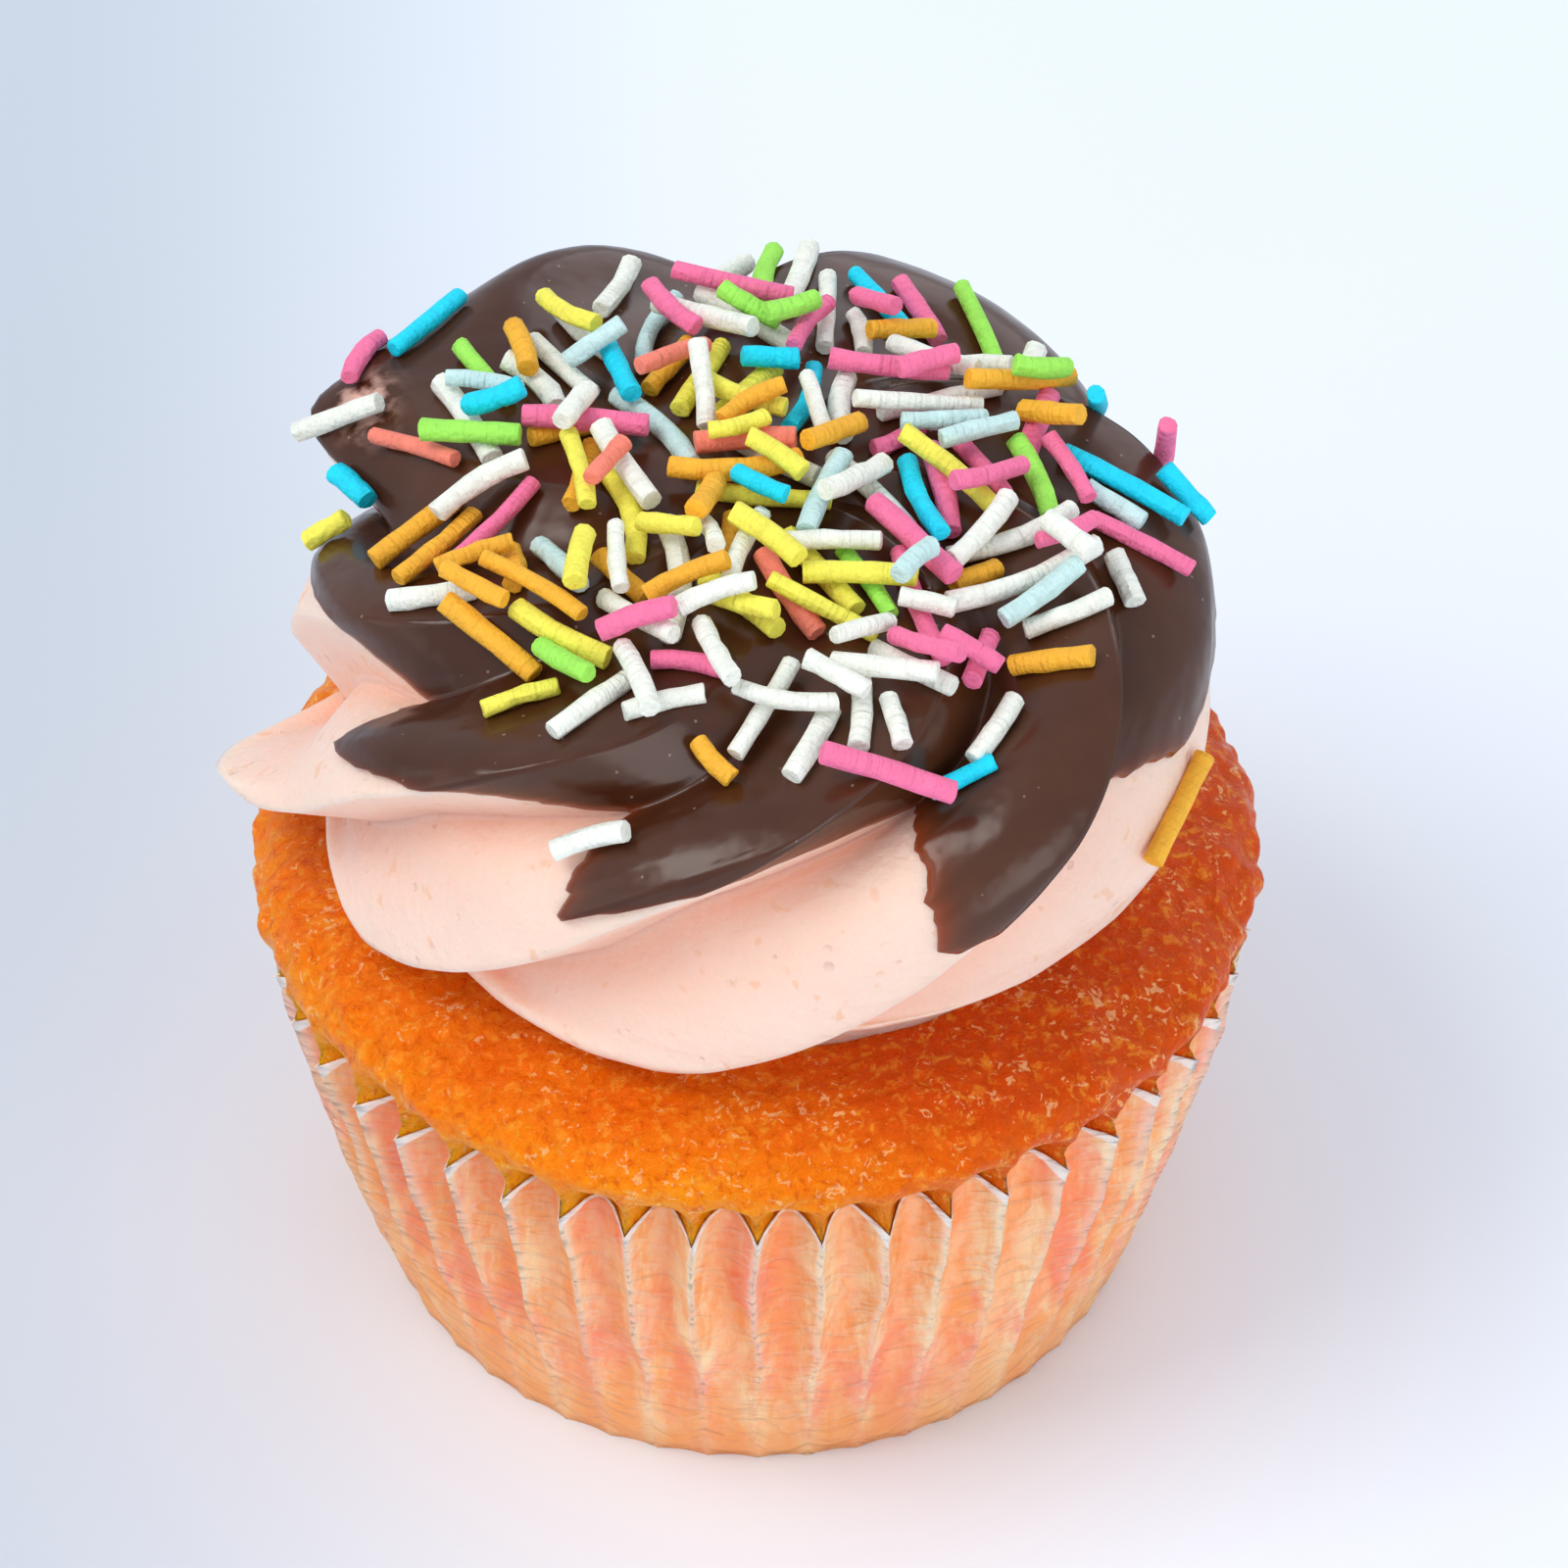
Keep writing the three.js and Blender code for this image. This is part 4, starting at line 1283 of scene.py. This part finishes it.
@dataclass
class Bed:
    """What lies on top, seen from above, on a square grid of cells.

    heights, bare: its height with and without sprinkles. coated: whether it is chocolate.
    phases, steps, first_step: how closely the swirl is surveyed, and from which step up.
    strips, samples: how closely a sprinkle is laid over the grid, across and along.
    """

    cell: float = 0.5
    half: int = 70
    phases: int = 60
    steps: int = 240
    first_step: int = 40
    strips: int = 9
    samples: int = 40
    heights: np.ndarray = field(default_factory=lambda: np.zeros(0))
    bare: np.ndarray = field(default_factory=lambda: np.zeros(0))
    coated: np.ndarray = field(default_factory=lambda: np.zeros(0, bool))

    def cells(self, x: np.ndarray, y: np.ndarray) -> np.ndarray:
        """Finds the cells over some points.

        Args:
            x, y: the points in millimetres.

        Returns:
            The number of each one's cell.
        """
        column = np.floor(x / self.cell + 0.5).astype(int) + self.half
        row = np.floor(y / self.cell + 0.5).astype(int) + self.half
        return row * (2 * self.half + 1) + column

    def survey(self, swirl: Swirl, face: float, clear: float, sink: float) -> None:
        """Fills the grid from the swirl and its coat.

        Args:
            swirl: the form that lies underneath.
            face: how far the coat stands off the buttercream.
            clear: how far a sprinkle stays off bare buttercream.
            sink: how far a sprinkle sinks into the coat.
        """
        size = (2 * self.half + 1) ** 2
        self.heights, self.coated = np.full(size, -1.0), np.zeros(size, bool)
        ridge, phase, step = np.meshgrid(
            np.arange(len(swirl.ridges)), np.arange(self.phases) / self.phases,
            np.arange(self.first_step, self.steps + 1) / self.steps, indexing="ij")
        chocolate = step >= swirl.coat_edge(ridge, phase)
        points = swirl.point(ridge, phase, step, np.where(chocolate, face, clear)).reshape(-1, 3)
        chocolate = chocolate.ravel()
        level = points[:, 2] + np.where(chocolate, 0.0, sink)
        order = np.argsort(level, kind="stable")
        cell = self.cells(points[order, 0], points[order, 1])
        self.heights[cell], self.coated[cell] = level[order], chocolate[order]
        self.bare = self.heights.copy()

    def cover(self, rod: Rod, girth: float, lift: float) -> None:
        """Raises the grid over a sprinkle, so that the next one can lie on it.

        Args:
            rod: the sprinkle.
            girth: its radius.
            lift: how much higher still, for a next one that sinks less than into the coat.
        """
        run = rod.end - rod.start
        flat = np.array([-run[1], run[0]]) / max(math.hypot(run[0], run[1]), 1e-6)
        line = rod.at(self.samples)
        for across in np.linspace(-girth, girth, self.strips):
            top = line[:, 2] + math.sqrt(max(girth ** 2 - across ** 2, 0.0)) + lift
            cell = self.cells(line[:, 0] + across * flat[0], line[:, 1] + across * flat[1])
            np.maximum.at(self.heights, cell, top)


def numbers(seed: int) -> Iterator[float]:
    """Draws numbers from nought to one.

    Args:
        seed: another seed gives other numbers.

    Returns:
        An endless source of them.
    """
    state = seed
    while True:
        state = (state * 1664525 + 1013904223) % 4294967296
        yield state / 4294967296


def settle(heights: np.ndarray) -> tuple[float, float]:
    """How a rod comes to rest on a row of heights.

    Args:
        heights: an odd number of heights under it, evenly spaced.

    Returns:
        Its height over the middle one, and its rise from each to the next.
    """
    middle = (len(heights) - 1) // 2
    low = min((heights[middle] - heights[i]) / (middle - i) for i in range(middle))
    high = max((heights[j] - heights[middle]) / (j - middle) for j in range(middle + 1, len(heights)))
    rest, rise = heights[middle], (low + high) / 2
    for i in range(middle):
        for j in range(middle + 1, len(heights)):
            slope = (heights[j] - heights[i]) / (j - i)
            level = heights[i] + slope * (middle - i)
            if level > rest:
                rest, rise = level, slope
    return float(rest), float(rise)


@dataclass
class Sprinkles:
    """Sugar rods: the ones that lie on the chocolate, and more that lie on those.

    girth: radius of a rod, of which each has a share from slimmest to widest. sink: how far one
    sinks into the coat, and heap_sink into those below it. clear: how far it stays off bare
    buttercream. tread, touches, steepest: how wide it rests, on how many of its samples, and how
    steep it may lie. room: how far apart two lie in plan. power, fade: how close the scatter
    draws to the middle, and how soon its rods get short; the heap has its own. bow_low, bow_high:
    how far a usual and a rare one bend. bevel, end_gap: length of the bevel at an end, and its
    largest share of the rod. blunt: girth of the ends. wavering: how far the girth varies along
    it. ring_offset: sets the faint rings of two rods apart. crease: the angle in radians from
    which an edge stays crisp. blend_everywhere: how common a colour is far from its clump.
    """

    swirl: Swirl
    coat: ChocolateCoat
    girth: float = 0.76
    sink: float = 0.3
    clear: float = 0.2
    tread: float = 0.5
    touches: int = 3
    samples: int = 9
    room: float = 1.65
    steepest: float = 0.5
    seed: int = 20731
    count: int = 76
    longest: float = 9.5
    shortest: float = 3.4
    fade: float = 0.6
    tries: int = 250
    middle: tuple[float, float] = (1.0, 2.0)
    radius: float = 23.0
    power: float = 0.56
    heap_count: int = 84
    heap_seed: int = 911
    heap_sink: float = 0.08
    heap_middle: tuple[float, float] = (0.5, 0.5)
    heap_radius: float = 20.5
    heap_power: float = 0.58
    heap_longest: float = 8.5
    heap_fade: float = 0.7
    heap_tries: int = 12
    leaning: tuple[Triple, Triple] = ((4, 0.49, 0.3), (4, 0.61, 0.36))
    leaning_out: float = 0.9
    bow_low: float = 0.04
    bow_high: float = 0.05
    slimmest: float = 0.73
    widest: float = 0.98
    bevel: float = 0.08
    end_gap: float = 0.1
    blunt: float = 0.88
    wavering: float = 0.03
    lump_size: float = 1.0
    lump_depth: float = 0.36
    ring_offset: float = 20.0
    crease: float = 0.72
    rings: int = 8
    sides: int = 10
    strays: tuple[Stray, ...] = (
        Stray(8, -22.5, 177, 8, Sugar.PINK), Stray(12.5, -20, 15, 4, Sugar.BLUE),
        Stray(14.5, -17, 58, 5, Sugar.WHITE), Stray(18, -12.5, 170, 5, Sugar.ORANGE),
        Stray(9.5, -14.5, 145, 6, Sugar.WHITE), Stray(0.5, -17, 60, 7, Sugar.WHITE),
        Stray(-2.5, -20.5, 135, 3, Sugar.ORANGE), Stray(-5.5, -17.5, 13, 5, Sugar.WHITE),
        Stray(-10, -24, 175, 4.5, Sugar.WHITE), Stray(16.5, -6.5, 32, 11, Sugar.WHITE),
        Stray(24, 0, 162, 6.5, Sugar.PINK), Stray(23, 4.5, 153, 8.5, Sugar.BLUE),
        Stray(27, 5.5, 148, 3.5, Sugar.BLUE), Stray(25.5, 10, 100, 4, Sugar.PINK),
        Stray(21.5, 12, 85, 5, Sugar.BLUE), Stray(-16.5, -1.5, 48, 8.5, Sugar.PINK),
        Stray(-12, -5.5, 116, 6, Sugar.ICE), Stray(-26.5, 11.5, 170, 5.5, Sugar.WHITE),
        Stray(-25, 16, 65, 4.5, Sugar.PINK), Stray(-21, 18.5, 50, 6.5, Sugar.BLUE),
        Stray(-25.5, 7, 130, 3.5, Sugar.BLUE), Stray(-27, 4, 5, 2.6, Sugar.YELLOW),
        Stray(-6.5, 18, 77, 9, Sugar.ICE), Stray(8, 21, 124, 6.5, Sugar.BLUE),
        Stray(10, -9.5, 106, 9.5, Sugar.PINK), Stray(11.5, 1, 100, 7, Sugar.PINK),
        Stray(4, -6.5, 125, 7.5, Sugar.YELLOW), Stray(17.5, 8, 74, 6.5, Sugar.PINK),
    )
    blend: tuple[Clump, ...] = (
        Clump(Sugar.WHITE, 0.32, 0, 4, 40), Clump(Sugar.ORANGE, 0.26, -7, 2, 12),
        Clump(Sugar.YELLOW, 0.26, -3, -6, 11), Clump(Sugar.ICE, 0.07, -6, -2, 30),
        Clump(Sugar.PINK, 0.13, 11, 3, 14), Clump(Sugar.CORAL, 0.06, -2, 2, 16),
        Clump(Sugar.GREEN, 0.12, 10, 8, 12), Clump(Sugar.BLUE, 0.06, 10, 10, 22),
    )
    blend_everywhere: float = 0.25

    def lay_down(self, bed: Bed, x: float, y: float, heading: float, length: float) -> tuple[
            np.ndarray, np.ndarray, bool, bool]:
        """Lays a rod along a line on what lies under it.

        Args:
            bed: what lies underneath.
            x, y: middle of the rod. heading: its direction in radians. length: its length.

        Returns:
            Its two ends, whether it lies flat and well held, and whether all under it is chocolate.
        """
        gaps = self.samples - 1
        ahead, aside = math.cos(heading), math.sin(heading)
        along = length * (np.arange(self.samples) / gaps - 0.5)
        across = np.array([-self.tread, 0.0, self.tread])[:, None]
        cell = bed.cells(x + along * ahead - across * aside, y + along * aside + across * ahead)
        under = bed.heights[cell].max(axis=0)
        rest, rise = settle(under)
        touching = under > rest + rise * (np.arange(self.samples) - gaps / 2) - self.sink
        rise *= gaps
        centre = np.array([x, y, rest + self.girth - self.sink])
        half = 0.5 * np.array([length * ahead, length * aside, rise])
        steady = abs(rise) / length < self.steepest and touching.sum() >= self.touches
        return centre - half, centre + half, bool(steady), bool(bed.coated[cell].all())

    def has_room(self, start: np.ndarray, end: np.ndarray, others: list[Rod]) -> bool:
        """Tells whether a rod keeps its distance in plan from the others.

        Args:
            start, end: its two ends.
            others: the rods that are there.

        Returns:
            True when there is room.
        """
        mine = Rod(start, end, Sugar.WHITE).at(7)[:, None, :2]
        gaps = (np.linalg.norm(mine - other.at(7)[None, :, :2], axis=-1).min() for other in others)
        return all(gap > self.room for gap in gaps)

    def pick(self, draw: float, x: float, y: float) -> Sugar:
        """Picks a colour.

        Args:
            draw: a number from nought to one.
            x, y: where the rod lies.

        Returns:
            The colour.
        """
        weights = [clump.share * (self.blend_everywhere
                                  + bell(math.hypot(x - clump.x, y - clump.y), 0, clump.spread))
                   for clump in self.blend]
        draw *= sum(weights)
        for clump, weight in zip(self.blend, weights):
            draw -= weight
            if draw < 0:
                return clump.sugar
        return Sugar.WHITE

    def drawn(self, draws: Iterator[float], middle: tuple[float, float], radius: float,
              power: float) -> Triple:
        """Draws a place and a heading.

        Args:
            draws: the source of numbers.
            middle, radius: the circle it falls in.
            power: the higher, the closer it falls to the middle.

        Returns:
            Its x and y, and its heading in radians.
        """
        reach, bearing = radius * next(draws) ** power, 2 * math.pi * next(draws)
        x, y = middle[0] + reach * math.cos(bearing), middle[1] + reach * math.sin(bearing)
        return x, y, math.pi * next(draws)

    def scatter(self, bed: Bed) -> list[Rod]:
        """Places the strays, then the rest from the longest, where the draws find room.

        Args:
            bed: the chocolate.

        Returns:
            The rods that lie on it.
        """
        placed: list[Rod] = []
        for stray in self.strays:
            heading = math.radians(stray.heading)
            start, end, _, _ = self.lay_down(bed, stray.x, stray.y, heading, stray.length)
            placed.append(Rod(start, end, stray.sugar))
        draws, dye = numbers(self.seed), numbers(self.seed + 1)
        for i in range(self.count):
            share = i / (self.count - 1)
            length = self.longest + (self.shortest - self.longest) * share ** self.fade
            for _ in range(self.tries):
                x, y, heading = self.drawn(draws, self.middle, self.radius, self.power)
                start, end, steady, coated = self.lay_down(bed, x, y, heading, length)
                if coated and steady and self.has_room(start, end, placed):
                    placed.append(Rod(start, end, self.pick(next(dye), x, y)))
                    break
        return placed

    def heap(self, bed: Bed) -> list[Rod]:
        """Places more rods over the first ones, each at its lowest place of a few.

        Args:
            bed: the chocolate with the first rods on it, which this raises.

        Returns:
            The rods of the heap.
        """
        draws = numbers(self.heap_seed)
        made: list[Rod] = []
        for i in range(self.heap_count):
            share = i / self.heap_count
            length = self.heap_longest + (self.shortest - self.heap_longest) * share ** self.heap_fade
            best: tuple[np.ndarray, np.ndarray] | None = None
            lowest = math.inf
            for _ in range(self.heap_tries):
                x, y, heading = self.drawn(draws, self.heap_middle, self.heap_radius, self.heap_power)
                start, end, steady, _ = self.lay_down(bed, x, y, heading, length)
                above = (start[2] + end[2]) / 2 - bed.bare[bed.cells(np.array(x), np.array(y))]
                if steady and above < lowest:
                    best, lowest = (start, end), above
            if best is not None:
                centre = (best[0] + best[1]) / 2
                rod = Rod(*best, self.pick(next(draws), centre[0], centre[1]))
                made.append(rod)
                bed.cover(rod, self.girth, self.sink - self.heap_sink)
        return made

    def lean(self) -> Rod:
        """The one that leans on the side of the buttercream."""
        start, end = (self.swirl.point(int(ridge), phase, step, self.leaning_out)
                      for ridge, phase, step in self.leaning)
        return Rod(start, end, Sugar.ORANGE)

    def tree(self) -> Tree:
        """Builds the tree that turns paths into lumpy rods with blunt ends.

        Returns:
            A Geometry Nodes tree with inputs Sides, Lump Size, Lump Depth, Seed and Material.
        """
        tree, given, out = new_tree("sugar_rods_along_paths", ("Lump Size", "Lump Depth", "Seed"), "Sides")
        size, depth, seed = (given.outputs[name] for name in ("Lump Size", "Lump Depth", "Seed"))
        path = add_node(tree, "GeometryNodeMeshToCurve", inputs={"Mesh": given})
        girth = add_node(tree, "GeometryNodeInputNamedAttribute", inputs={"Name": "girth"})
        profile = add_node(tree, "GeometryNodeCurvePrimitiveCircle", inputs={
            "Resolution": given.outputs["Sides"], "Radius": 1.0})
        tube = add_node(tree, "GeometryNodeCurveToMesh", inputs={
            "Curve": path, "Profile Curve": profile, "Scale": girth, "Fill Caps": True})
        moved = shaken(tree, tube, size, depth, seed, 1.0)
        rounded = add_node(tree, "GeometryNodeSetShadeSmooth", inputs={"Geometry": moved})
        angle = add_node(tree, "GeometryNodeInputMeshEdgeAngle")
        broken = add_node(tree, "ShaderNodeMath", {"operation": "GREATER_THAN"}, {0: angle, 1: self.crease})
        crisp = add_node(tree, "GeometryNodeSetShadeSmooth", {"domain": "EDGE"}, {
            "Geometry": rounded, "Selection": broken, "Shade Smooth": False})
        real = add_node(tree, "GeometryNodeRealizeInstances", inputs={0: crisp})
        dressed = add_node(tree, "GeometryNodeSetMaterial", inputs={
            "Geometry": real, "Material": given.outputs["Material"]})
        plug(tree, out, {0: dressed})
        return tree

    def paths(self, rods: list[Rod], seed: int) -> Piece:
        """Draws the middle lines of some rods, slightly bowed, with a girth at each point.

        Args:
            rods: the rods.
            seed: picks how they bend and how thick they are.

        Returns:
            A mesh of edges, with attributes girth in metres and along in millimetres.
        """
        draws = numbers(seed)
        # The first and last rings lie close to their neighbours, so that the ends are blunt.
        shares = np.linspace(-self.end_gap, 1 + self.end_gap, self.rings)
        shares[0], shares[-1] = 0, 1
        points, edges, girths, along = [], [], [], []
        for rod in rods:
            run = rod.end - rod.start
            length = float(np.linalg.norm(run))
            tip = min(self.bevel / length, self.end_gap)
            shares[1], shares[-2] = tip, 1 - tip
            side = np.array([-run[1], run[0], 0.0]) / length
            bend = 2 * next(draws) - 1
            bow = (self.bow_low * bend + self.bow_high * bend ** 5) * length
            thick = self.girth * (self.slimmest + (self.widest - self.slimmest) * next(draws))
            first = len(points)
            for i, share in enumerate(shares):
                points.append(rod.start + run * share + side * bow * (4 * share * (1 - share) - 0.5))
                end = self.blunt if i in (0, len(shares) - 1) else 1.0
                girths.append(thick * end * MM * (1 + self.wavering * (2 * next(draws) - 1)))
                along.append(share * length + self.ring_offset * first)
                if i:
                    edges.append((first + i - 1, first + i))
        marks = {"girth": np.array(girths), "along": np.array(along)}
        return mesh_object("rod_paths", np.array(points), [], marks, edges)

    def build(self) -> list[Piece]:
        """Makes one piece for each colour."""
        bed = Bed()
        bed.survey(self.swirl, self.coat.face, self.clear, self.sink)
        rods = self.scatter(bed)
        LOG.info("%d sprinkles lie on the chocolate", len(rods))
        for rod in rods:
            bed.cover(rod, self.girth, self.sink - self.heap_sink)
        rods += self.heap(bed) + [self.lean()]
        LOG.info("%d sprinkles in all", len(rods))
        tree = self.tree()
        made = []
        for number, sugar in enumerate(Sugar):
            colour = sugar.name.lower()
            mine = [rod for rod in rods if rod.sugar is sugar]
            finish = PressedSugar(f"{colour}_sugar_paste", sugar.value)
            piece = grow(self.paths(mine, self.seed + 10 + number), f"sprinkles_{colour}", tree, {
                "Sides": self.sides, "Lump Size": self.lump_size * MM,
                "Lump Depth": self.lump_depth * MM, "Seed": float(number), "Material": finish.build()})
            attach(piece, "root")
            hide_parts("chocolate_coat")
            if sugar is Sugar.ORANGE:
                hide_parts("buttercream")
            made.append(piece)
        return made


# ---------------------------------------------------------------------------------------------
# Table, lights and camera


@dataclass(frozen=True)
class Lamp:
    """A square soft light: where it hangs in metres, how high it aims, its size and its power."""

    name: str
    place: Triple
    aim: float
    size: float
    watts: float
    tint: str


@dataclass
class Studio:
    """A pale table, soft lights and the camera, above and in front, looking down.

    distance: metres from the camera to its aim. aim: the point it faces in millimetres, as x
    and z. focal: the lens in pixels of a frame frame_size wide.
    """

    distance: float = 0.5
    elevation: float = 43.6
    aim: tuple[float, float] = (1.715, 36.55)
    focal: float = 7974.0
    frame_size: int = 1600
    sensor: float = 36.0
    table_size: float = 3.0
    sky_tint: str = "#eaf1fb"
    sky_strength: float = 0.8
    lamps: tuple[Lamp, ...] = (
        Lamp("key", (-0.42, -0.16, 0.74), 0.04, 0.42, 2.7, "#fffaf4"),
        Lamp("front", (0.46, -0.72, 0.24), 0.02, 0.6, 2.3, "#ffffff"),
        Lamp("left", (-0.76, -0.34, 0.2), 0.02, 0.6, 0.7, "#ffffff"),
        Lamp("back", (0.3, 0.75, 0.42), 0.05, 0.5, 0.9, "#f6f9ff"),
    )

    def table(self) -> None:
        """Lays the table, which isn't part of the object."""
        half = self.table_size / MM / 2
        corners = half * np.array([[-1, -1, 0], [1, -1, 0], [1, 1, 0], [-1, 1, 0]])
        board = mesh_object("table_top", corners, [(0, 1, 2, 3)], {})
        board.data.materials.append(MattTable("matt_white_board").build())

    def hang(self, lamp: Lamp) -> None:
        """Hangs a soft light, turned to the cupcake.

        Args:
            lamp: the light.
        """
        data = bpy.data.lights.new(lamp.name, "AREA")
        data.shape, data.size, data.energy = "SQUARE", lamp.size, lamp.watts
        data.color = linear(lamp.tint)[:3]
        made = linked(lamp.name, data)
        made.location = lamp.place
        aim = Vector((0.0, 0.0, lamp.aim)) - Vector(lamp.place)
        made.rotation_euler = aim.to_track_quat("-Z", "Y").to_euler()

    def sky(self) -> None:
        """Fills the room with soft, slightly cool light."""
        world = bpy.data.worlds.new("soft_room")
        world.use_nodes = True
        tree = world.node_tree
        plug(tree, tree.nodes["Background"], {
            "Color": linear(self.sky_tint), "Strength": self.sky_strength})
        bpy.context.scene.world = world

    def camera(self) -> None:
        """Sets up the camera."""
        tilt = math.radians(self.elevation)
        aim = Vector((self.aim[0] * MM, 0.0, self.aim[1] * MM))
        back = Vector((0.0, -math.cos(tilt), math.sin(tilt)))
        data = bpy.data.cameras.new("camera")
        data.sensor_width = self.sensor
        data.lens = self.focal / self.frame_size * self.sensor
        data.clip_start, data.clip_end = 0.01, 20.0
        made = linked("camera", data)
        made.location = aim + back * self.distance
        made.rotation_euler = Euler((math.pi / 2 - tilt, 0.0, 0.0))
        bpy.context.scene.camera = made

    def build(self) -> None:
        """Sets up the table, the light and the camera."""
        self.table()
        self.sky()
        for lamp in self.lamps:
            self.hang(lamp)
        self.camera()
        view = bpy.context.scene.view_settings
        view.view_transform, view.look = "Standard", "None"


def main() -> None:
    """Builds the cupcake from the case up, then the studio, and logs the triangles of each piece."""
    logging.basicConfig(level=logging.INFO, format="%(message)s")
    case = PaperCase()
    swirl = Swirl()
    coat = ChocolateCoat(swirl)
    for part in (case, Sponge(case), Buttercream(swirl), coat, Sprinkles(swirl, coat)):
        for piece in part.build():
            piece.data.calc_loop_triangles()
            LOG.info("%s: %d triangles", piece.name, len(piece.data.loop_triangles))
    Studio().build()


if __name__ == "__main__":
    main()
